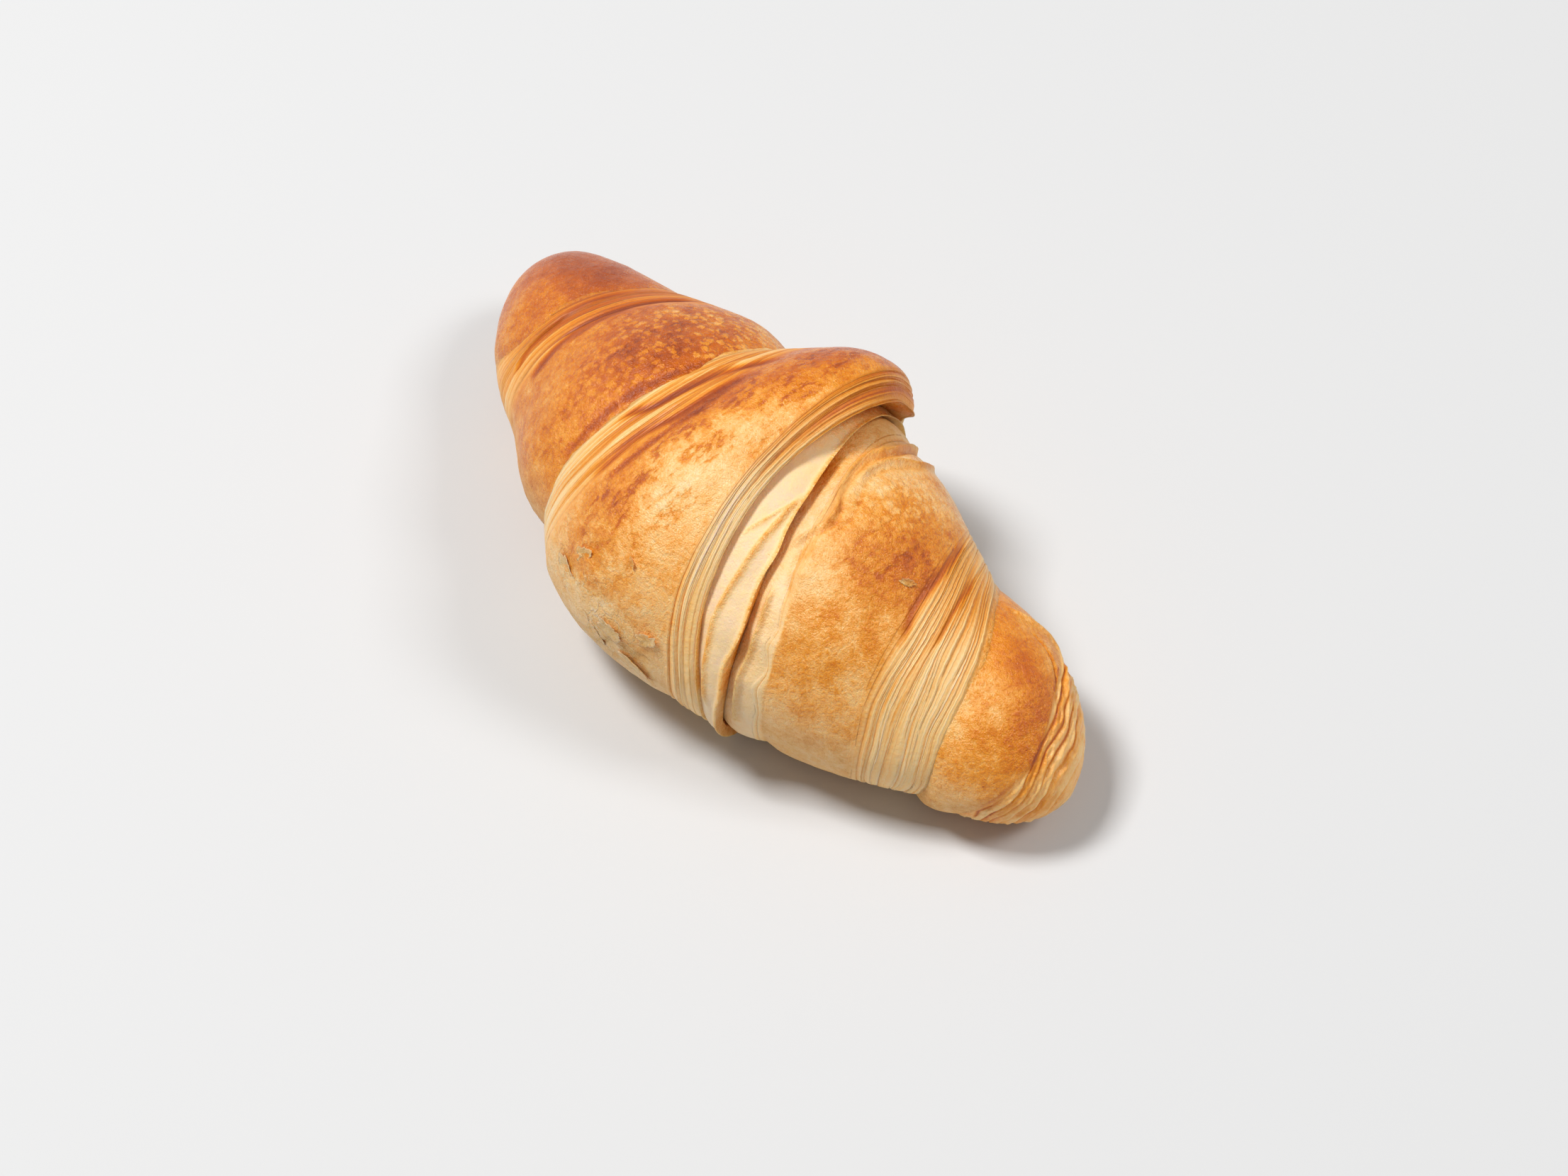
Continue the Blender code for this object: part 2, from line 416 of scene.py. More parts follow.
@dataclass(frozen=True)
class CutLeaves:
    """The cut edge of a rolled sheet: thin leaves from its rim down to the next wrap.

    step is how high a leaf's free edge stands, crevice how deep the gap behind it is, and
    undercut how far the edge hangs over the gap. spread is how unevenly thick the leaves are,
    fray how ragged, and stray how far some of them lift off. rope is how high the bundles stand
    into which the leaves gather low on the front, so many to a bundle. The gap shade is how much
    painted shade browns the gaps, last how much of its lift the last leaf has, and tone how much
    the leaves differ. A painted highlight lightens each leaf's free edge a little.
    fine is 1 where leaves thinner than the modelled ones show too.
    """

    leaves: int
    seed: int
    step: float = 0.20
    crevice: float = 0.22
    undercut: float = 0.06
    spread: float = 0.8
    fray: float = 0.05
    stray: float = 0.35
    fall: float = 1.0
    rope: float = 0.55
    gap_shade: float = 0.14
    bundle: int = 3
    last: float = 1.0
    tone: float = 0.06
    fine: float = 1.0

    PLACES: ClassVar[tuple[float, ...]] = (0.0, 0.14, 0.5, 0.86, 1.0)

    def thicknesses(self, noise: Unevenness, angle: Array) -> Array:
        """Each leaf's share of the cut's width, leaves by columns."""
        own = np.random.default_rng(self.seed).uniform(-1.0, 1.0, self.leaves)
        raw = np.array([
            1.1 * own[k]
            + 0.9 * noise.round_the_girth(angle, k, 40.0)
            + 0.25 * noise.round_the_girth(angle, k + 50, 11.0)
            for k in range(self.leaves)
        ])
        thick = np.exp(self.spread * raw)
        return thick / thick.sum(axis=0)

    def between(self, high: Line, low: Line, angle: Array) -> Course:
        """Lays the leaves side by side.

        Args:
            high: The rim of the sheet's skin.
            low: The foot of the cut, where the next wrap starts.
            angle: The angle of each column, in degrees.

        Returns:
            The rows from the rim to the foot.
        """
        noise = Unevenness(self.seed)
        ring = noise.round_the_girth
        thick = self.thicknesses(noise, angle)
        starts = np.cumsum(thick, axis=0) - thick
        way = np.sign(np.mean(low.along - high.along))
        bundled = ramp(np.abs(angle), 28.0, 68.0)
        tones = np.random.default_rng(self.seed + 1).uniform(-1.0, 1.0, self.leaves) * self.tone
        names = ("along", "relief", "leaf", "order", "shade", "fade")
        shown = self.fine * (1.0 - min(self.rope, 0.6) * 0.75 * bundled)
        rows: dict[str, list[Array]] = {name: [] for name in names}
        for k in range(self.leaves):
            begun = min(1.0, (k + 0.3) / 4.0) * (self.last if k == self.leaves - 1 else 1.0)
            own_shade = tones[k] + 0.07 * ring(angle, k + 200, 34.0)
            lift = self.step * np.clip(0.5 + 1.6 * ring(angle, k + 90, 12.0), 0.0, None)
            lift += self.stray * np.clip(ring(angle, k + 120, 9.0) - 0.4, 0.0, None)
            gap = np.clip(1.9 * ring(angle, k + 160, 11.0), 0.0, 1.2) * begun
            gap = gap * (0.6 + 0.4 * bundled) + bundled * (1.3 if k and k % self.bundle == 0 else -0.3)
            gap = np.clip(gap, 0.0, None)
            frayed = self.fray * (ring(angle, k + 300, 1.2) + 1.6 * ring(angle, k + 330, 4.5))
            over = self.undercut * begun
            for t in self.PLACES:
                share = starts[k] + thick[k] * t
                hang = way * (t - 0.5) * 2.0 * over + frayed * t * begun
                saw = lift * (t**1.4 - 0.5) * begun
                in_bundle = (k % self.bundle + t) / self.bundle
                back = self.rope * (np.sin(np.pi * in_bundle) ** 0.6 - 0.65)
                ridge = saw * (1.0 - 0.4 * bundled) + back * bundled * begun
                body = high.relief + (low.relief - high.relief) * share**self.fall
                in_gap = np.exp(-((t / 0.15) ** 2))
                on_edge = np.exp(-(((1.0 - t) / 0.2) ** 2))
                rows["along"].append(high.along + (low.along - high.along) * share + hang)
                rows["relief"].append(body + ridge - self.crevice * gap * in_gap)
                rows["leaf"].append(shown)
                rows["order"].append(np.full_like(angle, k + t if k else 0.5 + 0.5 * t))
                # Painted shade browns the gap behind each leaf, and a painted highlight lightens its
                # free edge.
                own = own_shade + self.gap_shade * gap * in_gap - 0.04 * on_edge
                rows["shade"].append(own * ramp(share, 0.0, 0.25))
                rows["fade"].append(share)
        return Course(**{name: np.array(values) for name, values in rows.items()})


@dataclass(frozen=True)
class EndLeaves:
    """The open end of the roll: thick leaves side by side, which cross its tip on a slant.

    facing is the way from each leaf to the next, pitch their thickness, and drift how uneven that
    is. swell is how high a leaf stands, fray how rough its face is, drop how far they all lie below
    the rim of the skin, and the gap shade how much painted shade browns the gaps.
    """

    facing: tuple[float, float, float] = (0.72, 0.50, -0.49)
    pitch: float = 2.1
    drift: float = 1.9
    swell: float = 0.8
    drop: float = 0.6
    gap_shade: float = 0.38
    fray: float = 0.5
    rows: int = 74
    seed: int = 79
    blunt_from: float = 76.0
    blunt_at: float = 83.0

    def between(self, rim: Line, tip: Line, angle: Array) -> Course:
        """Lays the leaves from the rim of the skin to the tip.

        Args:
            rim: The rim of the skin.
            tip: The end of the roll.
            angle: The angle of each column, in degrees.

        Returns:
            The rows from the rim to the tip.
        """
        share = np.linspace(0.0, 1.0, self.rows + 1)[:, None]
        along = rim.along + (tip.along - rim.along) * np.sin(share * np.pi / 2)
        relief = rim.relief * (1.0 - share) - self.drop * ramp(share, 0.0, 0.06)
        places = ROLL.point(along, relief, angle, 0.0)
        noise = Unevenness(self.seed)
        way = places @ np.array(self.facing) + self.drift * noise.at(places, 9.0)
        way = way + 0.45 * noise.at(places + 50.0, 3.0)
        order = (way - way[0].max()) / self.pitch
        part = order - np.floor(order)
        ridge = self.swell * (np.sin(np.pi * part) ** 0.5 * (0.5 + 0.5 * part) - 0.5)
        ridge = ridge * (0.75 + 0.6 * noise.at(places + 20.0, 5.0))
        ridge = ridge + self.fray * np.sin(3.0 * np.pi * part) * noise.at(places + 70.0, 2.0)
        calm = ramp(order, 2.5, 6.5)
        ridge = ridge * ramp(share, 0.0, 0.08) * (1.0 - 0.8 * calm)
        ridge = ridge + 0.35 * calm * noise.at(places + 40.0, 4.0)
        deep = np.clip(0.5 + 1.3 * noise.at(places + 90.0, 7.0), 0.0, 1.0) * (1.0 - 0.95 * calm)
        gap = np.exp(-((np.minimum(part, 1.0 - part) / 0.12) ** 2))
        blunt = ramp(along, self.blunt_from, self.blunt_at)
        tones = 0.08 * np.sin(2.4 * np.floor(order) + 1.0) * (1.0 - calm)
        tones = tones + 0.10 * noise.at(places + 30.0, 6.0) + 0.06 * calm * noise.at(places, 3.0)
        # shade holds painted shade in the gaps between the leaves, with the leaves' own tones.
        return Course(
            along, relief + ridge * (1.0 - blunt), leaf=0.6 * ramp(share, 0.0, 0.04), order=order,
            shade=self.gap_shade * gap * deep + tones, fade=ramp(share, 0.0, 0.15), ahead=ridge * blunt,
        )


# ---------------------------------------------------------------------------------------------
# Browning
# ---------------------------------------------------------------------------------------------


@dataclass(frozen=True)
class Blotch:
    """A soft patch on the skin, at a place and an angle, with its half sizes and its lean."""

    along: float
    angle: float
    half_length: float
    half_girth: float
    strength: float
    lean: float = 0.0

    def on(self, along: Array, angle: Array) -> Array:
        """How much of the patch there is at each place of the skin."""
        off = along - self.along
        round_off = np.radians((angle - self.angle + 180.0) % 360.0 - 180.0) * GIRTH_RADIUS
        turn = np.radians(self.lean)
        ahead = off * np.cos(turn) + round_off * np.sin(turn)
        aside = round_off * np.cos(turn) - off * np.sin(turn)
        return self.strength * np.exp(
            -((ahead / self.half_length) ** 2) - (aside / self.half_girth) ** 2
        )


def patches(blotches: tuple[Blotch, ...], along: Array, angle: Array) -> Array:
    """Adds up soft patches."""
    return sum((b.on(along, angle) for b in blotches), np.zeros_like(along))


@dataclass(frozen=True)
class Strand:
    """A fold, a crease, or a line of browning or of painted shadow, drawn on the skin through points
    (along, angle).

    height is the relief on the line, and edge the relief of a ledge on its right-hand side, which
    runs out over its reach. bake is how much browner the line is. ends is the length over which
    the strand comes up at its ends.
    """

    path: tuple[tuple[float, float], ...]
    half_width: float
    height: float = 0.0
    bake: float = 0.0
    edge: float = 0.0
    reach: float = 5.0
    ends: float = 5.0

    def lie(self, along: Array, angle: Array) -> tuple[Array, Array, Array]:
        """Finds how the skin lies to the line.

        Args:
            along: Places on the roll's length.
            angle: Angles round the roll, in degrees.

        Returns:
            The distance to the line, which side of it a place is on, and how far the strand has
            come up there, from 0 to 1.
        """
        mm_a_degree = np.radians(1.0) * GIRTH_RADIUS
        path = smooth_path(np.array(self.path, float)) * (1.0, mm_a_degree)
        place = np.stack([along, angle * mm_a_degree], -1)
        nearest = np.full(along.shape, np.inf)
        side = np.zeros_like(along)
        travelled = np.zeros_like(along)
        lengths = np.linalg.norm(np.diff(path, axis=0), axis=1)
        passed = np.concatenate([[0.0], np.cumsum(lengths)])
        for k, (start, length) in enumerate(zip(path, lengths)):
            course = (path[k + 1] - start) / length
            offset = place - start
            step = np.clip(offset @ course, 0.0, length)
            off = offset - step[..., None] * course
            distance = np.hypot(off[..., 0], off[..., 1])
            nearer = distance < nearest
            cross = course[0] * offset[..., 1] - course[1] * offset[..., 0]
            nearest = np.where(nearer, distance, nearest)
            side = np.where(nearer, np.sign(cross), side)
            travelled = np.where(nearer, passed[k] + step, travelled)
        come_up = ramp(np.minimum(travelled, passed[-1] - travelled), -0.1, self.ends)
        return nearest, side, come_up

    def on(self, along: Array, angle: Array) -> tuple[Array, Array]:
        """The strand's relief and its browning at each place of the skin."""
        distance, side, come_up = self.lie(along, angle)
        line = np.exp(-((distance / self.half_width) ** 2)) * come_up
        ledge = np.where(side > 0, np.exp(-distance / self.reach), 0.0) * come_up
        return self.height * line + self.edge * ledge, self.bake * line


def smooth_path(path: Array) -> Array:
    """Rounds a path by putting three more points on a curve between each two."""
    padded = np.concatenate([path[:1], path, path[-1:]])
    finer = [
        curve_through(*padded[k : k + 4], t)
        for k in range(len(path) - 1)
        for t in (0.0, 0.25, 0.5, 0.75)
    ]
    return np.array([*finer, path[-1]])


@dataclass
class Skin:
    """A wrap's rows, put together and placed in space."""

    along: Array
    relief: Array
    angle: Array
    leaf: Array
    order: Array
    shade: Array
    fade: Array
    floor: Array
    ahead: Array

    @classmethod
    def joined(cls, courses: list[Course], angle: Array) -> "Skin":
        """Puts courses together into one skin."""
        names = ("along", "relief", "leaf", "order", "shade", "fade", "floor", "ahead")
        values = {n: np.concatenate([c.full(n) for c in courses]).astype(float) for n in names}
        return cls(angle=np.broadcast_to(angle, values["along"].shape), **values)

    def points(self) -> Array:
        """The skin's points in millimetres."""
        points = ROLL.point(self.along, self.relief, self.angle, self.floor)
        points[..., 0] += self.ahead
        return points


class Mark(Enum):
    """What each corner of a wrap's mesh carries for its finish."""

    BAKE = "bake"
    WASH = "wash"
    LEAF = "leaf"
    SPECKLE = "speckle"
    MOTTLE = "mottle"
    FLAKY = "flaky"


# ---------------------------------------------------------------------------------------------
# Meshes
# ---------------------------------------------------------------------------------------------


def deselect_all() -> None:
    """Leaves nothing selected, so that the next operator acts on its own piece alone."""
    bpy.ops.object.select_all(action="DESELECT")


def lattice_mesh(name: str, points: Array) -> tuple[bpy.types.Object, Array, Array]:
    """Adds a grid and gives its corners the places of a lattice of points.

    Args:
        name: The piece's name.
        points: Places in millimetres, rows by columns by 3.

    Returns:
        The new object, still open at its seam, and the row and the column of each corner.
    """
    rows, columns = points.shape[:2]
    deselect_all()
    bpy.ops.mesh.primitive_grid_add(
        x_subdivisions=columns - 1, y_subdivisions=rows - 1, size=1.0, calc_uvs=True,
        location=(0.0, 0.0, 0.0),
    )
    piece = bpy.context.object
    piece.name = name
    piece.data.name = name
    flat = np.empty(rows * columns * 3)
    piece.data.vertices.foreach_get("co", flat)
    flat = flat.reshape(-1, 3)
    column = np.rint((flat[:, 0] + 0.5) * (columns - 1)).astype(int)
    row = np.rint((flat[:, 1] + 0.5) * (rows - 1)).astype(int)
    piece.data.vertices.foreach_set("co", (points[row, column] * MM).ravel())
    piece.data.uv_layers[0].name = "OFBake"
    return piece, row, column


def add_mark(piece: bpy.types.Object, name: str, values: Array) -> None:
    """Stores one number, or one vector, for each corner of a mesh."""
    kind, slot = ("FLOAT", "value") if values.ndim == 1 else ("FLOAT_VECTOR", "vector")
    piece.data.attributes.new(name, kind, "POINT")
    piece.data.attributes[name].data.foreach_set(slot, np.ascontiguousarray(values, float).ravel())


def close_seams(piece: bpy.types.Object) -> None:
    """Merges the seam and the poles, and turns all faces outwards."""
    deselect_all()
    piece.select_set(True)
    bpy.context.view_layer.objects.active = piece
    bpy.ops.object.mode_set(mode="EDIT")
    bpy.ops.mesh.select_all(action="SELECT")
    bpy.ops.mesh.remove_doubles(threshold=MERGE_DISTANCE)
    bpy.ops.mesh.normals_make_consistent(inside=False)
    bpy.ops.object.mode_set(mode="OBJECT")
    bpy.ops.object.shade_smooth()
    deselect_all()


def hand_over(piece: bpy.types.Object, material: bpy.types.Material) -> None:
    """Dresses a piece, hangs it on the body it rides on, and hides the solid."""
    piece.data.materials.clear()
    piece.data.materials.append(material)
    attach(piece, BODY)
    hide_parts(NODE)
    log.info("%s: %d faces", piece.name, len(piece.data.polygons))


# ---------------------------------------------------------------------------------------------
# Finishes
# ---------------------------------------------------------------------------------------------


def linear(red: int, green: int, blue: int) -> tuple[float, float, float, float]:
    """Turns a display colour from 0 to 255 into the linear colour that shaders use."""
    shares = (c / 255.0 for c in (red, green, blue))
    return (*(s / 12.92 if s <= 0.04045 else ((s + 0.055) / 1.055) ** 2.4 for s in shares), 1.0)


class Signal:
    """An output of a shader graph that takes part in Python arithmetic."""

    def __init__(self, graph: "Graph", socket: bpy.types.NodeSocket) -> None:
        """Wraps a socket."""
        self.graph = graph
        self.socket = socket

    def _math(self, operation: str, *values: Any) -> "Signal":
        """Adds a Math node."""
        return self.graph.node(
            "ShaderNodeMath", {"operation": operation}, dict(enumerate(values))
        )

    def __add__(self, other: Any) -> "Signal":
        """self + other."""
        return self._math("ADD", self, other)

    def __radd__(self, other: Any) -> "Signal":
        """other + self."""
        return self._math("ADD", other, self)

    def __sub__(self, other: Any) -> "Signal":
        """self - other."""
        return self._math("SUBTRACT", self, other)

    def __rsub__(self, other: Any) -> "Signal":
        """other - self."""
        return self._math("SUBTRACT", other, self)

    def __mul__(self, other: Any) -> "Signal":
        """self * other."""
        return self._math("MULTIPLY", self, other)

    def __rmul__(self, other: Any) -> "Signal":
        """other * self."""
        return self._math("MULTIPLY", other, self)

    def part(self) -> "Signal":
        """What is left of the signal above the whole number below it."""
        return self._math("FRACT", self)

    def between(self, low: float, high: float) -> "Signal":
        """Goes smoothly from 0 where the signal is low to 1 where it is high."""
        return self.graph.node(
            "ShaderNodeMapRange",
            {"interpolation_type": "SMOOTHSTEP"},
            {"Value": self, "From Min": low, "From Max": high},
        )


class Graph:
    """The node tree of one material."""

    def __init__(self, name: str) -> None:
        """Starts a material with its Principled shader."""
        self.material = bpy.data.materials.new(name)
        self.material.use_nodes = True
        self.tree = self.material.node_tree
        self.shader = self.tree.nodes["Principled BSDF"]

    def node(self, kind: str, settings: dict, sockets: dict, output: int | str = 0) -> Signal:
        """Adds a node.

        Args:
            kind: The node's type.
            settings: Its own settings; "stops" are the places and colours of a ramp.
            sockets: Values or signals for its inputs, by name or by number.
            output: Which output to use.

        Returns:
            The node's output.
        """
        made = self.tree.nodes.new(kind)
        for name, value in settings.items():
            if name == "stops":
                self._set_stops(made.color_ramp, value)
            else:
                setattr(made, name, value)
        for name, value in sockets.items():
            self.feed(made.inputs[name], value)
        return Signal(self, made.outputs[output])

    @staticmethod
    def _set_stops(colours: bpy.types.ColorRamp, stops: tuple) -> None:
        """Gives a ramp its places and colours."""
        while len(colours.elements) < len(stops):
            colours.elements.new(1.0)
        for element, (place, colour) in zip(colours.elements, stops):
            element.position = place
            element.color = colour

    def feed(self, socket: bpy.types.NodeSocket, value: Any) -> None:
        """Links a signal to a socket, or sets the socket's own value."""
        if isinstance(value, Signal):
            self.tree.links.new(value.socket, socket)
        else:
            socket.default_value = value

    def mark(self, name: str) -> Signal:
        """Reads a number that the mesh carries."""
        settings = {"attribute_type": "GEOMETRY", "attribute_name": name}
        return self.node("ShaderNodeAttribute", settings, {}, "Fac")

    def place(self) -> Signal:
        """The place on the piece."""
        return self.node("ShaderNodeTexCoord", {}, {}, "Object")

    def drawn_out(self, place: Signal, scale: tuple[float, float, float]) -> Signal:
        """Places for a texture that is drawn out by different shares along each axis."""
        settings = {"operation": "MULTIPLY"}
        return self.node("ShaderNodeVectorMath", settings, {0: place, 1: scale})

    def noise(self, place: Signal, size: float, detail: float = 2.0, warp: float = 0.0) -> Signal:
        """Soft noise with lumps of a size in millimetres."""
        sockets = {"Vector": place, "Scale": 1.0 / (size * MM), "Detail": detail, "Distortion": warp}
        return self.node("ShaderNodeTexNoise", {}, sockets, "Fac")

    def warped(self, place: Signal, size: float, amount: float) -> Signal:
        """Shifts places by soft noise, with sizes in millimetres."""
        sockets = {"Vector": place, "Scale": 1.0 / (size * MM), "Detail": 2.0}
        drift = self.node("ShaderNodeTexNoise", {}, sockets, "Color")
        centred = self.node("ShaderNodeVectorMath", {"operation": "SUBTRACT"}, {0: drift, 1: (0.5,) * 3})
        settings = {"operation": "MULTIPLY_ADD"}
        return self.node(
            "ShaderNodeVectorMath", settings, {0: centred, 1: (amount * MM * 2.0,) * 3, 2: place}
        )

    def cells(self, place: Signal, size: float) -> Signal:
        """Distance to the nearest of scattered points, a size in millimetres apart."""
        sockets = {"Vector": place, "Scale": 1.0 / (size * MM)}
        return self.node("ShaderNodeTexVoronoi", {"feature": "F1"}, sockets, "Distance")

    def streaks(self, course: Signal, around: float, across: float, detail: float = 3.0) -> Signal:
        """Noise drawn out along the leaves.

        Args:
            course: The mesh's way round the roll and its count of leaves.
            around: The length of a streak, in millimetres.
            across: The width of a streak, in leaves.
            detail: How much finer relief there is.

        Returns:
            The noise.
        """
        scale = (1.0 / around, 1.0 / across, 1.0)
        sockets = {"Vector": self.drawn_out(course, scale), "Scale": 1.0, "Detail": detail}
        return self.node("ShaderNodeTexNoise", {}, sockets, "Fac")

    def colours(self, value: Signal, stops: tuple) -> Signal:
        """Turns a number into a colour by a ramp."""
        return self.node("ShaderNodeValToRGB", {"stops": stops}, {"Fac": value}, "Color")

    def mix(self, factor: Any, first: Any, second: Any, blend: str = "MIX") -> Signal:
        """Mixes two colours."""
        settings = {"data_type": "RGBA", "blend_type": blend}
        sockets = {0: factor, 6: first, 7: second}
        return self.node("ShaderNodeMix", settings, sockets, 2)

    def bump(self, height: Signal, depth: float, normal: Signal | None = None) -> Signal:
        """Raises the surface by a height, with a depth in millimetres."""
        sockets = {"Height": height, "Distance": depth * MM, "Strength": 1.0}
        if normal is not None:
            sockets["Normal"] = normal
        return self.node("ShaderNodeBump", {}, sockets, "Normal")


@dataclass(frozen=True)
class BakedDough:
    """Laminated dough after baking, from raw cream to dark brown."""

    name: str = "baked_dough"
    washed: tuple = (
        (0.00, linear(233, 201, 170)),
        (0.08, linear(246, 212, 158)),
        (0.18, linear(250, 204, 136)),
        (0.32, linear(247, 180, 96)),
        (0.42, linear(235, 152, 46)),
        (0.52, linear(221, 128, 12)),
        (0.64, linear(199, 98, 4)),
        (0.78, linear(177, 80, 6)),
        (1.00, linear(148, 58, 10)),
    )
    # A warm tint multiplied into the gaps between leaves: painted shade.
    gap_shade: tuple[float, float, float, float] = (0.84, 0.58, 0.30, 1.0)
    plain: tuple = (
        (0.00, linear(240, 214, 178)),
        (0.18, linear(238, 198, 142)),
        (0.35, linear(228, 180, 108)),
        (0.50, linear(212, 152, 80)),
        (0.65, linear(190, 122, 58)),
        (0.80, linear(160, 90, 42)),
        (1.00, linear(112, 54, 26)),
    )
    specular: float = 0.5
    subsurface: float = 0.25

    def material(self) -> bpy.types.Material:
        """Builds the finish from what the mesh carries."""
        graph = Graph(self.name)
        place = graph.place()
        course = graph.node(
            "ShaderNodeAttribute",
            {"attribute_type": "GEOMETRY", "attribute_name": "course"}, {}, "Vector",
        )
        bake, wash, leaf, speckle, mottle, flaky = (graph.mark(mark.value) for mark in Mark)
        skin = 1.0 - leaf
        wide = graph.noise(place, 6.0, 2.0) - 0.5
        middle = graph.noise(place, 2.2, 5.0) - 0.5
        fine = graph.noise(place, 0.8, 3.0) - 0.5
        crumbs = graph.noise(place, 0.3, 2.0) - 0.5

        order = graph.node("ShaderNodeSeparateXYZ", {}, {0: course}, "Y")
        order = order + (graph.streaks(course, 60.0, 1.7, 1.0) - 0.5) * 0.9 + middle * 0.22
        main, thin = order.part(), (order * 3.0 + 0.4).part()
        main_saw = main * (1.0 - main.between(0.84, 1.0))
        thin_saw = thin * (1.0 - thin.between(0.74, 1.0))
        long_streaks = graph.streaks(course, 34.0, 0.9) - 0.5
        main_shown = graph.streaks(course, 24.0, 0.8, 1.0).between(0.44, 0.62)
        thin_shown = graph.streaks(course, 20.0, 0.5, 1.0).between(0.36, 0.62)
        fineness = leaf.between(0.6, 1.0)
        ridges = main_saw * 0.45 + thin_saw * (0.25 + thin_shown * 0.45) * fineness
        # A dark line just behind each leaf's free edge: painted shade in the gap.
        gap_shade_line = (1.0 - main.between(0.0, 0.12)) * main_shown * leaf.between(0.2, 0.8)
        glow = long_streaks.between(0.10, 0.24)
        # Each leaf is painted paler towards its raised free edge and browner low down and in its gap:
        # painted highlight and painted shade, with streaks of the dough's own tone.
        leaves = (0.28 - ridges) * 0.26 + gap_shade_line * 0.10 + long_streaks * 0.26 + glow * 0.14

        drawn = graph.drawn_out(place, (1.0, 0.45, 0.45))
        flecks = graph.noise(graph.warped(drawn, 0.9, 0.4), 1.1, 5.0, 0.3).between(0.48, 0.62)
        stains = graph.noise(drawn, 3.6, 4.0).between(0.42, 0.60)
        brown = (flecks * (0.30 + stains * 0.70) + stains * 0.35) * (mottle + 0.15 * wash)
        dots = 1.0 - graph.cells(graph.warped(place, 0.9, 0.7), 1.8).between(0.30, 0.56)
        dots = dots * speckle * (0.5 + (middle + 0.5) * 1.0)
        specks = 1.0 - graph.cells(graph.warped(place, 2.0, 1.0), 6.0).between(0.018, 0.034)
        layers = graph.noise(graph.warped(place, 2.5, 1.2), 6.5, 6.0)
        upper, lower = layers.between(0.480, 0.492), layers.between(0.545, 0.557)
        torn = (upper + lower) * 0.5 * flaky
        rims = (upper - layers.between(0.492, 0.515)) + (lower - layers.between(0.557, 0.580))

        raw = 1.0 - bake.between(0.06, 0.24)
        grain = (wide * 0.36 + middle * 0.26 + fine * 0.28 + crumbs * 0.24) * (1.0 - raw * 0.7)
        crust = grain + brown * 0.16 - dots * 0.17 + specks * 0.40 - torn * 0.10 - rims * flaky * 0.10
        baked = bake + skin * crust + leaf * (leaves + fine * 0.12)
        rich = graph.colours(baked, self.washed)
        matt = graph.colours(baked, self.plain)
        wash = wash * (1.0 - torn * 0.2)
        colour = graph.mix(wash, matt, rich)
        # The gaps are tinted darker and warmer: painted shade.
        colour = graph.mix(gap_shade_line * leaf * 0.7, colour, self.gap_shade, "MULTIPLY")
        graph.feed(graph.shader.inputs["Base Color"], colour)
        gloss = wash * (skin * 0.6 + 0.4) * (1.0 - raw)
        graph.feed(graph.shader.inputs["Roughness"], 0.62 - gloss * 0.36 + middle * 0.4)
        pits = (middle * 0.5 + fine * 0.9 + crumbs * 0.6) * (1.0 - raw * 0.6)
        height = skin * (pits + dots * 0.45 - brown * 0.3 + torn * 1.1)
        height = height + leaf * (ridges * 0.4 + fine * 0.4)
        graph.feed(graph.shader.inputs["Normal"], graph.bump(height, 0.35))
        graph.shader.inputs["Specular IOR Level"].default_value = self.specular
        graph.shader.inputs["Subsurface Weight"].default_value = self.subsurface
        graph.shader.inputs["Subsurface Radius"].default_value = (0.003, 0.0014, 0.0006)
        graph.shader.inputs["Subsurface Scale"].default_value = 1.0
        return graph.material


@dataclass(frozen=True)
class PaleFloor:
    """A plain pale tabletop."""

    name: str = "pale_tabletop"
    colour: tuple = (0.66, 0.66, 0.66, 1.0)
    roughness: float = 0.8

    def material(self) -> bpy.types.Material:
        """Builds the finish."""
        graph = Graph(self.name)
        graph.shader.inputs["Base Color"].default_value = self.colour
        graph.shader.inputs["Roughness"].default_value = self.roughness
        return graph.material


# ---------------------------------------------------------------------------------------------
# The wraps
# ---------------------------------------------------------------------------------------------


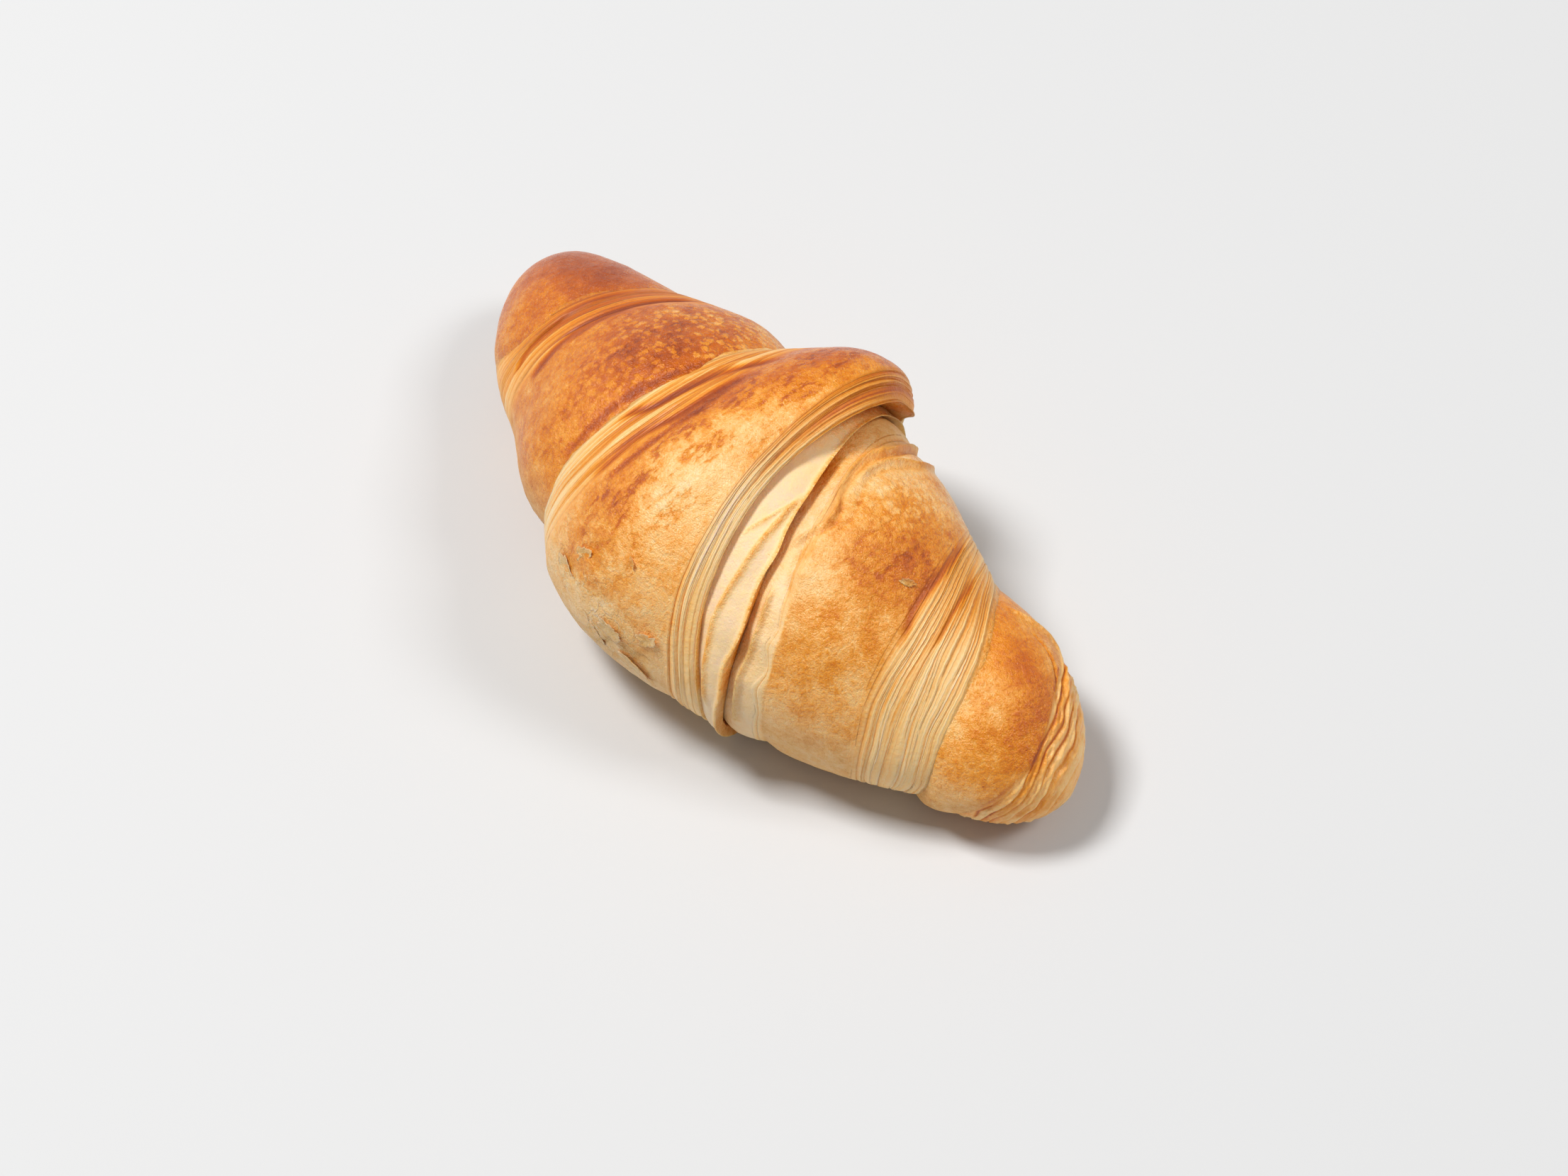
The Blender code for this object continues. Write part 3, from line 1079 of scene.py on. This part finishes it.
@dataclass
class Wrap:
    """One wrap of the dough, as a closed skin round the roll."""

    name: str
    seed: int
    columns: int = 440
    crowding: float = 12.0
    lump: float = 0.50
    dent: float = 0.16
    blister: float = 0.06
    base_bake: float = 0.42
    top_bake: float = 0.16
    tuck: Tuck = field(default_factory=Tuck)
    bakes: tuple[Blotch, ...] = ()
    speckles: tuple[Blotch, ...] = ()
    mottles: tuple[Blotch, ...] = ()
    washes: tuple[Blotch, ...] = ()
    flakies: tuple[Blotch, ...] = ()
    strands: tuple[Strand, ...] = ()
    cut_bake: float = 0.20
    cut_top_bake: float = 0.12
    rim_bake: float = 0.10
    blend: float = 0.35
    cut_bakes: tuple[Blotch, ...] = ()

    CAP_SHARES: ClassVar[tuple[float, ...]] = (0.6, 0.25, 0.0)

    def angles(self) -> Array:
        """The angle of each column, closer together on top than underneath."""
        share = np.linspace(-1.0, 1.0, self.columns + 1)
        return 180.0 * share - self.crowding * np.sin(np.pi * share)

    def courses(self, angle: Array) -> list[Course]:
        """The rows of the skin, from left to right."""
        raise NotImplementedError

    def shaped(self, skin: Skin) -> Skin:
        """Makes the skin uneven."""
        noise = Unevenness(self.seed)
        points = skin.points()
        bare = 1.0 - (skin.leaf > 0.0) * ramp(skin.fade, 0.0, 0.3)
        skin.relief = skin.relief + self.lump * noise.at(points, 15.0)
        skin.relief = skin.relief + self.dent * noise.at(points + 90.0, 5.0) * (0.3 + 0.7 * bare)
        skin.relief = skin.relief + self.blister * noise.at(points + 40.0, 1.7) * bare
        for strand in self.strands:
            relief, bake = strand.on(skin.along, skin.angle)
            skin.relief = skin.relief + relief
            skin.shade = skin.shade + bake
        return skin

    def marks(self, skin: Skin) -> dict[Mark, Array]:
        """What the skin's corners carry for the finish."""
        angle = skin.angle
        on_top = ramp(-np.abs(angle + 12.0), -105.0, 0.0)
        underneath = ramp(np.abs(angle), 130.0, 165.0)
        bake = self.base_bake + self.top_bake * on_top + patches(self.bakes, skin.along, angle)
        bake = bake + (0.52 - bake) * underneath
        cut_bake = self.cut_bake + self.cut_top_bake * on_top + self.rim_bake * (1.0 - skin.fade) ** 3
        cut_bake = cut_bake + patches(self.cut_bakes, skin.along, angle)
        within = (skin.leaf > 0.0) * ramp(skin.fade, 0.0, self.blend)
        # skin.shade brings in the strands' lines and the leaves' own tones, along with painted shade in
        # gaps and recesses and painted highlights on leaf edges.
        bake = bake + (cut_bake - bake) * within + skin.shade
        wash = 0.35 + 0.65 * ramp(-np.abs(angle - 5.0), -95.0, -55.0)
        wash = wash + (1.0 - wash) * within + patches(self.washes, skin.along, angle)
        wash = np.clip(wash, 0.0, 1.0)
        leaf = skin.leaf * (0.25 + 0.75 * ramp(skin.fade, 0.0, 0.5 * self.blend))
        return {
            Mark.BAKE: bake,
            Mark.WASH: wash,
            Mark.LEAF: leaf,
            Mark.SPECKLE: np.clip(patches(self.speckles, skin.along, angle), 0.0, 1.2),
            Mark.MOTTLE: np.clip(patches(self.mottles, skin.along, angle), 0.0, 1.2),
            Mark.FLAKY: np.clip(patches(self.flakies, skin.along, angle), 0.0, 1.2),
        }

    def build(self, material: bpy.types.Material) -> bpy.types.Object:
        """Makes the wrap's mesh, closes it and dresses it."""
        angle = self.angles()
        skin = self.shaped(Skin.joined(self.courses(angle), angle))
        points = skin.points()
        caps = []
        for edge in (points[0], points[-1]):
            middle = edge[:-1].mean(axis=0)
            caps.append([middle + (edge - middle) * share for share in self.CAP_SHARES])
        lattice = np.concatenate([caps[0][::-1], points, caps[1]])
        piece, row, column = lattice_mesh(self.name, lattice)
        inner = np.clip(row - len(self.CAP_SHARES), 0, len(points) - 1)
        for mark, values in self.marks(skin).items():
            add_mark(piece, mark.value, values[inner, column])
        around = np.radians(skin.angle) * GIRTH_RADIUS
        course = np.stack([around, skin.order, np.full_like(around, self.seed * 5.0)], -1)
        add_mark(piece, "course", course[inner, column])
        close_seams(piece)
        hand_over(piece, material)
        return piece


@dataclass
class Tail(Wrap):
    """The small wrap at the left end."""

    name: str = "tail_wrap"
    seed: int = 11
    base_bake: float = 0.47
    top_bake: float = 0.12
    bakes: tuple[Blotch, ...] = (
        Blotch(-68, -24, 12, 13, 0.22),
        Blotch(-60, -20, 5, 12, 0.10),
        Blotch(-76, 10, 9, 20, 0.04),
        Blotch(-65, 52, 9, 12, 0.05),
    )
    rows: int = 84

    def courses(self, angle: Array) -> list[Course]:
        """The domed skin of the tail, and its tuck under the shoulder."""
        tip, rim = LEFT_TIP.line(angle), TAIL_RIM.line(angle)
        t = np.linspace(0.0, 1.0, self.rows + 1)[:, None]
        along = tip.along + (rim.along - tip.along) * (1.0 - np.cos(t * np.pi / 2))
        relief = rim.relief * t + 1.0 * (1.0 - (2.0 * t - 1.0) ** 2)
        skin = Course(along, relief)
        return [skin, self.tuck.under(rim, 1)]


@dataclass
class Shoulder(Wrap):
    """The wrap between the tail and the crown."""

    name: str = "shoulder_wrap"
    seed: int = 23
    base_bake: float = 0.43
    top_bake: float = 0.13
    cut_bake: float = 0.32
    cut_top_bake: float = 0.30
    rim_bake: float = 0.06
    cut: CutLeaves = CutLeaves(
        leaves=9, seed=31, step=0.10, crevice=0.08, undercut=0.02, stray=0.05, gap_shade=0.08,
        rope=0.10, last=0.0, tone=0.09,
    )
    skin_rows: int = 62
    bakes: tuple[Blotch, ...] = (
        Blotch(-31, 0, 9, 15, 0.12),
        Blotch(-31.9, 5, 2.2, 2.4, 0.16),
        Blotch(-34.6, 0, 1.6, 2.0, 0.10),
        Blotch(-26, -16, 5, 9, 0.10),
        Blotch(-40, 46, 12, 14, -0.05),
        Blotch(-39, 66, 8, 9, 0.10),
    )
    speckles: tuple[Blotch, ...] = (Blotch(-26, -24, 9, 22, 1.3), Blotch(-36, -16, 8, 14, 0.9),
                                    Blotch(-38, 16, 10, 20, 0.25))
    mottles: tuple[Blotch, ...] = (Blotch(-34, 0, 12, 26, 1.0),)
    strands: tuple[Strand, ...] = (
        Strand(((-41.0, -44), (-44.3, -24), (-47.4, -5), (-49.0, 10), (-49.8, 24), (-49.6, 38),
                (-49.4, 52)), 0.95, height=-0.4, bake=0.40),
        Strand(((-45.4, -14), (-47.0, 0), (-47.6, 13), (-48.3, 25)), 0.6, height=-0.25, bake=0.30),
        Strand(((-54.7, -11), (-56.2, 11), (-57.2, 30), (-57.7, 48), (-56.9, 65)), 0.8, height=0.4,
               bake=-0.08),
        Strand(((-52.4, -24), (-55.4, 0), (-56.2, 21), (-57.2, 41), (-56.2, 61)), 0.7, height=-0.3,
               bake=0.20),
        # Browner along the groove under the crown: partly browning, partly painted shadow in the groove.
        Strand(((-18.6, -40), (-19.6, -20), (-21.2, -4), (-22.6, 8), (-24.2, 20), (-25.0, 32),
                (-25.4, 42), (-26.2, 56)), 0.8, height=-0.2, bake=0.26),
    )

    def courses(self, angle: Array) -> list[Course]:
        """The cut edge on the tail, the skin, and its tuck under the crown."""
        foot, rim = TAIL_RIM.line(angle), SHOULDER_RIM.line(angle)
        groove = SHOULDER_GROOVE.line(angle)
        leaves = self.cut.between(rim, foot, angle).turned()
        start = Line(leaves.along[0], leaves.relief[0])
        end = Line(leaves.along[-1], leaves.relief[-1])
        return [
            self.tuck.under(start, -1).turned(),
            leaves,
            span(end, groove, self.skin_rows, bulge=1.3),
            self.tuck.under(groove, 1),
        ]


@dataclass
class Crown(Wrap):
    """The highest wrap, in the middle, with its lip over the inner sheet."""

    name: str = "crown_wrap"
    seed: int = 37
    base_bake: float = 0.25
    top_bake: float = 0.08
    cut_bake: float = 0.13
    cut_top_bake: float = 0.14
    cut_bakes: tuple[Blotch, ...] = (
        Blotch(9, -56, 10, 14, 0.14), Blotch(8, -24, 6, 20, 0.22), Blotch(14, 14, 5, 16, -0.16),
        Blotch(-15, -6, 7, 28, 0.26), Blotch(-20, 40, 6, 14, 0.08),
    )
    left_cut: CutLeaves = CutLeaves(
        leaves=11, seed=41, step=0.12, crevice=0.12, undercut=0.02, rope=0.22, last=0.2,
        tone=0.12,
    )
    right_cut: CutLeaves = CutLeaves(
        leaves=14, seed=43, step=0.12, crevice=0.10, undercut=0.02, spread=1.1, fall=1.4,
        stray=0.4, rope=0.70, gap_shade=0.10,
    )
    skin_rows: int = 60
    bakes: tuple[Blotch, ...] = (
        Blotch(-5, -24, 7, 26, 0.20),
        Blotch(2, -52, 8, 14, 0.23),
        Blotch(-9, 10, 3, 20, 0.10),
        Blotch(-9, 56, 6, 9, 0.14),
        Blotch(0, 54, 7, 9, 0.13),
        Blotch(4, 20, 8, 11, -0.16),
        # Darker low on the front: painted shade.
        Blotch(6, 90, 16, 14, 0.05),
    )
    mottles: tuple[Blotch, ...] = (
        Blotch(-6, 0, 6, 32, 1.0),
        Blotch(3, -30, 8, 18, 1.0),
        Blotch(5, 16, 6, 12, 0.9),
        Blotch(-6, 48, 5, 12, 0.9),
        Blotch(6, 48, 8, 10, 0.5),
    )
    washes: tuple[Blotch, ...] = (Blotch(4, 95, 16, 14, -0.15),)
    flakies: tuple[Blotch, ...] = (
        Blotch(-4, 82, 9, 12, 1.1), Blotch(9, 92, 11, 12, 1.1), Blotch(5, 30, 4, 6, 0.3),
    )
    strands: tuple[Strand, ...] = (
        Strand(((-11.9, -28), (-15.2, -17), (-17.9, -7), (-19.9, 2), (-21.9, 14), (-23.1, 23)), 0.8,
               height=0.3, bake=-0.08),
        Strand(((-6.6, -30), (-10.1, -22), (-13.1, -14), (-14.5, -4), (-15.9, 6), (-17.4, 14),
                (-19.9, 20), (-21.2, 28)), 1.05, height=-0.5, bake=0.42),
        Strand(((-10.3, -12), (-11.5, -1), (-12.7, 7), (-14.5, 16), (-16.2, 28), (-16.1, 38),
                (-17.4, 52)), 0.9, height=0.4, bake=-0.08),
        Strand(((-6.9, -18), (-8.5, -8), (-8.9, 2), (-9.5, 11), (-11.1, 17), (-12.9, 27),
                (-13.3, 38), (-14.7, 48)), 0.9, height=-0.35, bake=0.36),
        Strand(((-6.6, -15), (-7.1, -3), (-6.8, 6), (-7.9, 20), (-9.1, 32), (-9.9, 44)), 0.8,
               height=-0.2, bake=0.28),
        Strand(((13.5, 70), (15.7, 74), (19.5, 78)), 0.25, height=-0.3, bake=0.10, edge=0.35, reach=3.0),
        Strand(((-1.1, 107), (5.5, 94), (9.1, 85), (12.5, 88), (15.5, 86), (19.1, 90)), 0.25,
               height=-0.2, bake=0.06, edge=-0.45, reach=4.0),
        Strand(((-8.5, 84), (-3.9, 78), (-2.1, 68), (-4.1, 66), (-0.9, 60)), 0.25,
               height=0.0, bake=0.05, edge=0.4, reach=4.0),
    )

    def courses(self, angle: Array) -> list[Course]:
        """Both cut edges, the skin between them, and the underside of the lip."""
        foot, left = SHOULDER_GROOVE.line(angle), CROWN_LEFT_RIM.line(angle)
        right, lip, root = CROWN_RIGHT_RIM.line(angle), LIP.line(angle), LIP_ROOT.line(angle)
        rising = self.left_cut.between(left, foot, angle).turned()
        falling = self.right_cut.between(right, lip, angle)
        start = Line(rising.along[0], rising.relief[0])
        end = Line(rising.along[-1], rising.relief[-1])
        begin = Line(falling.along[0], falling.relief[0])
        brink = Line(falling.along[-1], falling.relief[-1])
        return [
            self.tuck.under(start, -1).turned(),
            rising,
            span(end, begin, self.skin_rows, bulge=1.2),
            falling,
            span(brink, root, 10),
            self.tuck.under(root, -1),
        ]


@dataclass
class InnerSheet(Wrap):
    """The pale sheet that shows between the crown's lip and the flank."""

    name: str = "inner_sheet"
    seed: int = 53
    base_bake: float = 0.05
    top_bake: float = 0.0
    lump: float = 0.35
    dent: float = 0.22
    skin_rows: int = 90
    # Browner at the back under the lip: partly the tan skin there, partly painted shadow of the lip.
    bakes: tuple[Blotch, ...] = (Blotch(8, -52, 6, 14, 0.20), Blotch(11, -36, 3, 7, 0.10))
    strands: tuple[Strand, ...] = (
        Strand(((19.1, -4), (20.3, 10), (21.5, 22), (22.9, 36), (24.4, 52), (26.7, 68), (29.7, 94)),
               0.6, height=0.8, bake=0.26, ends=4.0),
        Strand(((19.6, 0), (18.7, 10), (18.0, 18), (17.4, 26)), 0.35, height=0.35, bake=0.18),
    )

    def courses(self, angle: Array) -> list[Course]:
        """The sheet, its raised edge, and the way down into the valley."""
        root, edge, valley = (e.line(angle) for e in (LIP_ROOT, INNER_SHEET_EDGE, VALLEY))
        start = root.moved(along=-1.0)
        sheet = span(start, edge, self.skin_rows, bulge=0.8, first=True)
        near = np.exp(-(((edge.along - sheet.along) / 0.8) ** 2))
        sheet.relief = sheet.relief + 0.9 * near
        in_front = ramp(angle, -60.0, -15.0)
        sheet.shade = 0.26 * near * in_front
        brink = Line(sheet.along[-1], sheet.relief[-1])
        foot = valley.moved(along=-3.2)
        wall = span(brink, foot, 8)
        depth = np.linspace(0.0, 1.0, 9)[1:, None]
        # The wall is browner, and darker towards the valley floor: the darkening with depth is painted
        # shade.
        wall.shade = (0.24 + 0.16 * depth) * in_front
        return [self.tuck.under(start, -1).turned(), sheet, wall, self.tuck.under(foot, -1)]


@dataclass
class Flank(Wrap):
    """The wrap to the right of the crown."""

    name: str = "flank_wrap"
    seed: int = 61
    base_bake: float = 0.31
    top_bake: float = 0.07
    lump: float = 0.6
    left_cut: CutLeaves = CutLeaves(
        leaves=2, seed=67, step=0.3, crevice=0.1, fray=0.10, rope=0.1, bundle=1, fine=0.5,
    )
    right_cut: CutLeaves = CutLeaves(
        leaves=18, seed=71, step=0.11, crevice=0.07, undercut=0.015, spread=1.0, fray=0.07,
        rope=0.24, gap_shade=0.10, tone=0.05,
    )
    skin_rows: int = 56
    shelf_rows: int = 24
    cut_bake: float = 0.15
    cut_top_bake: float = 0.10
    cut_bakes: tuple[Blotch, ...] = (
        Blotch(50, -34, 12, 14, 0.18),
        Blotch(17, -60, 9, 20, 0.08),
        Blotch(36, 66, 5, 24, -0.10),
    )
    bakes: tuple[Blotch, ...] = (
        Blotch(37, -20, 6, 9, 0.14),
        Blotch(42, -10, 5, 7, 0.12),
        Blotch(33, 18, 6, 8, -0.12),
        Blotch(40, 6, 8, 8, 0.03),
        Blotch(22, -30, 6, 12, -0.10),
        Blotch(41, 42, 7, 9, 0.05),
    )
    speckles: tuple[Blotch, ...] = (Blotch(33, -28, 9, 12, 0.6), Blotch(25, -22, 5, 10, 0.3))
    mottles: tuple[Blotch, ...] = (Blotch(39, -16, 8, 14, 1.0),)
    washes: tuple[Blotch, ...] = (
        Blotch(10, -56, 5, 20, -1.0),
        Blotch(22, 6, 4, 24, -0.8),
        Blotch(31, 66, 5, 26, -0.7),
    )
    strands: tuple[Strand, ...] = (
        Strand(((28.6, 28), (31.2, 42), (32.6, 53), (33.4, 70), (34.4, 101)), 0.5, height=1.2,
               bake=0.16, ends=3.0),
        Strand(((13.8, -78), (15.8, -62), (17.2, -50), (17.4, -41), (17.7, -32), (19.6, -22),
                (22.5, -13), (25.4, -7), (26.6, -1), (25.6, 6), (25.3, 14)), 0.6, height=1.1,
               bake=0.10, ends=3.0),
        # A brown line beside the fold: painted shadow of the fold, over a groove in the relief.
        Strand(((15.0, -78), (17.0, -62), (18.4, -50), (18.8, -38), (19.6, -29), (21.4, -20),
                (23.8, -12.5), (26.7, -6.5), (28.0, -1), (26.9, 7)), 0.5, height=-0.4, bake=0.16,
               ends=3.0),
        Strand(((20.0, -74), (21.9, -56), (21.0, -48), (20.4, -39), (20.8, -30), (22.4, -21)), 0.6,
               height=0.9, bake=0.12, ends=3.0),
        Strand(((23.4, -58), (22.6, -46), (22.2, -36), (22.8, -28), (24.6, -20), (28.6, -10),
                (29.4, -1), (29.0, 5)), 0.6, height=-0.3, bake=0.10),
        Strand(((26.4, 6), (27.4, 12), (28.4, 18), (30.3, 24), (33.2, 32)), 0.7, height=-0.4,
               bake=0.14),
        Strand(((30.2, 12), (31.2, 20), (31.8, 26)), 2.2, height=0.8, bake=-0.10, ends=6.0),
        Strand(((39.0, -52), (44.1, -25), (46.3, -8), (48.0, 3), (50.0, 12), (52.1, 22)), 0.7,
               height=-0.3, bake=0.30, ends=8.0),
        Strand(((45.5, -44), (47.9, -32), (51.6, -10), (53.7, 3), (54.8, 16)), 0.5, height=-0.3,
               bake=0.26, ends=8.0),
    )

    def courses(self, angle: Array) -> list[Course]:
        """The folded left rim, the skin, and the cut edge down to the nose."""
        valley, rim, fold = (e.line(angle) for e in (VALLEY, FLANK_LEFT_RIM, FLANK_FOLD))
        right, groove = FLANK_RIGHT_RIM.line(angle), NOSE_GROOVE.line(angle)
        rising = self.left_cut.between(fold, rim, angle).turned()
        falling = self.right_cut.between(right, groove, angle)
        start = Line(rising.along[0], rising.relief[0])
        end = Line(rising.along[-1], rising.relief[-1])
        begin = Line(falling.along[0], falling.relief[0])
        foot = Line(falling.along[-1], falling.relief[-1])
        low = valley.moved(along=-4.0, relief=-0.6)
        shelf = span(low, start, self.shelf_rows, bulge=0.5, first=True)
        on_top = ramp(-np.abs(angle + 45.0), -60.0, -20.0)
        depth = np.linspace(1.0, 0.0, self.shelf_rows + 1)[:, None]
        # The shelf is browner at the back under the lip, partly painted shadow of the lip; paler
        # elsewhere; and darker towards the valley, which is painted shade.
        shelf.shade = -0.06 * on_top - 0.24 * (1.0 - on_top) + 0.14 * depth
        return [
            self.tuck.under(low, -1).turned(),
            shelf,
            rising,
            span(end, begin, self.skin_rows, bulge=1.0),
            falling,
            self.tuck.under(foot, 1),
        ]


@dataclass
class Nose(Wrap):
    """The wrap at the right end, with the open leaves of the roll's end."""

    name: str = "nose_wrap"
    seed: int = 73
    base_bake: float = 0.37
    top_bake: float = 0.10
    cut_bake: float = 0.27
    cut_top_bake: float = 0.04
    rim_bake: float = 0.04
    strands: tuple[Strand, ...] = (
        Strand(((51.5, -50), (56.0, -56), (61.9, -66), (66.5, -60), (71.0, -50), (75.5, -38)), 1.0,
               height=0.6, bake=-0.08),
        Strand(((58.0, -46), (64.5, -46), (70.0, -38), (74.5, -26)), 0.5, height=-0.4, bake=0.12),
    )
    end: EndLeaves = EndLeaves()
    skin_rows: int = 52
    bakes: tuple[Blotch, ...] = (
        Blotch(63, -26, 5, 7, 0.08),
        Blotch(70, -10, 7, 9, 0.10),
        Blotch(74, 20, 6, 9, 0.06),
        # Paler on the left of the nose: partly paler crust, partly a painted highlight.
        Blotch(62, 24, 4, 16, -0.10),
        Blotch(68, 9, 4, 8, -0.14),
        Blotch(68, 60, 9, 12, -0.04),
        Blotch(80, 0, 6, 12, 0.08),
    )

    def courses(self, angle: Array) -> list[Course]:
        """The skin from the groove to the rim, and the leaves of the end."""
        groove, rim, tip = (e.line(angle) for e in (NOSE_GROOVE, NOSE_RIM, RIGHT_TIP))
        groove = groove.moved(along=-0.4, relief=-0.6)
        ends = self.end.between(rim, tip, angle)
        start = Line(ends.along[0], ends.relief[0])
        return [
            self.tuck.under(groove, -1).turned(),
            span(groove, start, self.skin_rows, bulge=1.1, first=True),
            ends,
        ]


@dataclass
class Flake:
    """A thin shard of crust that has come off the skin and curls up along one side.

    along and angle place it, relief is how high the skin is there, half_length lies along the
    roll and half_girth round it, and lean turns it on the skin. curl is how far its edge lifts
    on the side that lifts points to, in degrees.
    """

    along: float
    angle: float
    half_length: float
    half_girth: float
    relief: float = 2.6
    lean: float = 0.0
    curl: float = 0.7
    lifts: float = -90.0
    bake: float = 0.20
    seed: int = 5
    thickness: float = 0.12
    rings: int = 9
    columns: int = 72

    def outline(self, turn: Array) -> Array:
        """How far the torn edge lies from the middle in each direction, round 1."""
        around = np.stack([np.cos(turn), np.sin(turn), np.full_like(turn, self.seed)], -1)
        return 1.0 + 0.55 * Unevenness(self.seed).rough(around, 0.7, 5)

    def build(self, number: int, material: bpy.types.Material) -> bpy.types.Object:
        """Makes the shard: its upper face from the middle out, and its lower face back in."""
        turn = np.linspace(-np.pi, np.pi, self.columns + 1)
        out = np.linspace(0.0, 1.0, self.rings + 1)
        share = np.concatenate([out, out[::-1]])[:, None]
        upper = np.repeat([1.0, -1.0], self.rings + 1)[:, None]
        length = self.half_length * share * self.outline(turn) * np.cos(turn)
        girth = self.half_girth * share * self.outline(turn) * np.sin(turn)
        lean = np.radians(self.lean)
        along = self.along + length * np.cos(lean) - girth * np.sin(lean)
        off = length * np.sin(lean) + girth * np.cos(lean)
        angle = self.angle + np.degrees(off / GIRTH_RADIUS)
        raised = 0.5 + 0.5 * np.cos(turn - np.radians(self.lifts))
        relief = self.relief + self.curl * share**2 * raised
        relief = relief + 0.5 * self.thickness * upper * (1.0 - share**6)
        points = ROLL.point(along, relief, angle, 0.0)
        piece, row, column = lattice_mesh(f"crust_flake_{number}", points)
        on_edge = np.broadcast_to(share, along.shape) ** 6
        values = {Mark.BAKE: self.bake - 0.08 * on_edge, Mark.WASH: np.full_like(on_edge, 0.6)}
        for mark in Mark:
            held = values.get(mark, np.zeros_like(on_edge))
            add_mark(piece, mark.value, held[row, column])
        add_mark(piece, "course", np.zeros((len(row), 3)))
        close_seams(piece)
        hand_over(piece, material)
        return piece


FLAKES = (
    Flake(-6.5, 80, 3.6, 2.8, lean=20, seed=3, bake=0.24),
    Flake(-3.4, 66, 2.2, 1.6, relief=2.8, lean=-30, seed=4, bake=0.26),
    Flake(0.5, 92, 4.6, 2.6, relief=2.5, lean=10, seed=6, bake=0.22),
    Flake(8.0, 84, 3.4, 2.4, relief=2.7, lean=-15, seed=8, bake=0.26),
    Flake(13.0, 96, 3.8, 2.2, relief=2.2, lean=5, seed=9, bake=0.22),
    Flake(15.8, 76, 2.0, 1.3, relief=2.1, lean=-40, seed=12, bake=0.26),
    Flake(7.0, 54, 1.1, 0.6, relief=2.9, lean=35, seed=13, bake=0.40),
    Flake(44.0, -5, 1.3, 0.6, relief=1.4, lean=-30, seed=14, bake=0.40),
    Flake(-12.0, 92, 2.2, 1.6, relief=2.2, lean=40, seed=15, bake=0.24),
)


# ---------------------------------------------------------------------------------------------
# The studio
# ---------------------------------------------------------------------------------------------


@dataclass
class Studio:
    """A pale floor, soft light and the camera."""

    floor_size: float = 6.0
    azimuth: float = 50.7
    elevation: float = 54.0
    distance: float = 0.725
    lens: float = 85.0
    target: tuple[float, float, float] = (0.0187, -0.00605, 0.0250)

    def floor(self) -> None:
        """Lays the floor under the croissant."""
        deselect_all()
        bpy.ops.mesh.primitive_plane_add(size=self.floor_size, location=(0.0, 0.0, 0.0))
        floor = bpy.context.object
        floor.name = "floor"
        floor.data.materials.append(PaleFloor().material())

    def light(self, name: str, place: Vector, size: float, power: float) -> None:
        """Hangs a square soft light that faces the croissant."""
        bpy.ops.object.light_add(type="AREA", location=place)
        lamp = bpy.context.object
        lamp.name = name
        lamp.data.size = size
        lamp.data.energy = power
        lamp.rotation_mode = "QUATERNION"
        lamp.rotation_quaternion = (-place).to_track_quat("-Z", "Y")

    def lights(self) -> None:
        """Sets up the key light, the fill and the surroundings."""
        self.light("key_light", Vector((-0.70, -0.50, 1.75)), 0.5, 33.2)
        self.light("back_light", Vector((0.90, 0.90, 1.60)), 0.6, 13.6)
        world = bpy.data.worlds.new("surroundings")
        world.use_nodes = True
        world.node_tree.nodes["Background"].inputs["Color"].default_value = (1.0, 1.0, 1.0, 1.0)
        world.node_tree.nodes["Background"].inputs["Strength"].default_value = 0.25
        bpy.context.scene.world = world

    def camera(self) -> None:
        """Places the camera, looking down on the croissant from its front right."""
        around, up = np.radians(self.azimuth), np.radians(self.elevation)
        back = Vector((np.sin(around) * np.cos(up), -np.cos(around) * np.cos(up), np.sin(up)))
        bpy.ops.object.camera_add(location=Vector(self.target) + back * self.distance)
        camera = bpy.context.object
        camera.name = "camera"
        camera.data.lens = self.lens
        camera.data.sensor_width = 36.0
        camera.data.clip_start = 0.01
        camera.rotation_mode = "QUATERNION"
        camera.rotation_quaternion = (-back).to_track_quat("-Z", "Y")
        bpy.context.scene.camera = camera

    def build(self) -> None:
        """Sets up the whole studio."""
        self.floor()
        self.lights()
        self.camera()
        bpy.context.scene.view_settings.view_transform = "Standard"


def write_sizes() -> None:
    """Brings the scene up to date."""
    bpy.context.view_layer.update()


def main() -> None:
    """Builds the croissant and the studio."""
    logging.basicConfig(level=logging.INFO, format="%(name)s %(message)s")
    dough = BakedDough().material()
    for wrap in (Tail(), Shoulder(), Crown(), InnerSheet(), Flank(), Nose()):
        wrap.build(dough)
    for number, flake in enumerate(FLAKES):
        flake.build(number, dough)
    Studio().build()
    write_sizes()


if __name__ == "__main__":
    main()
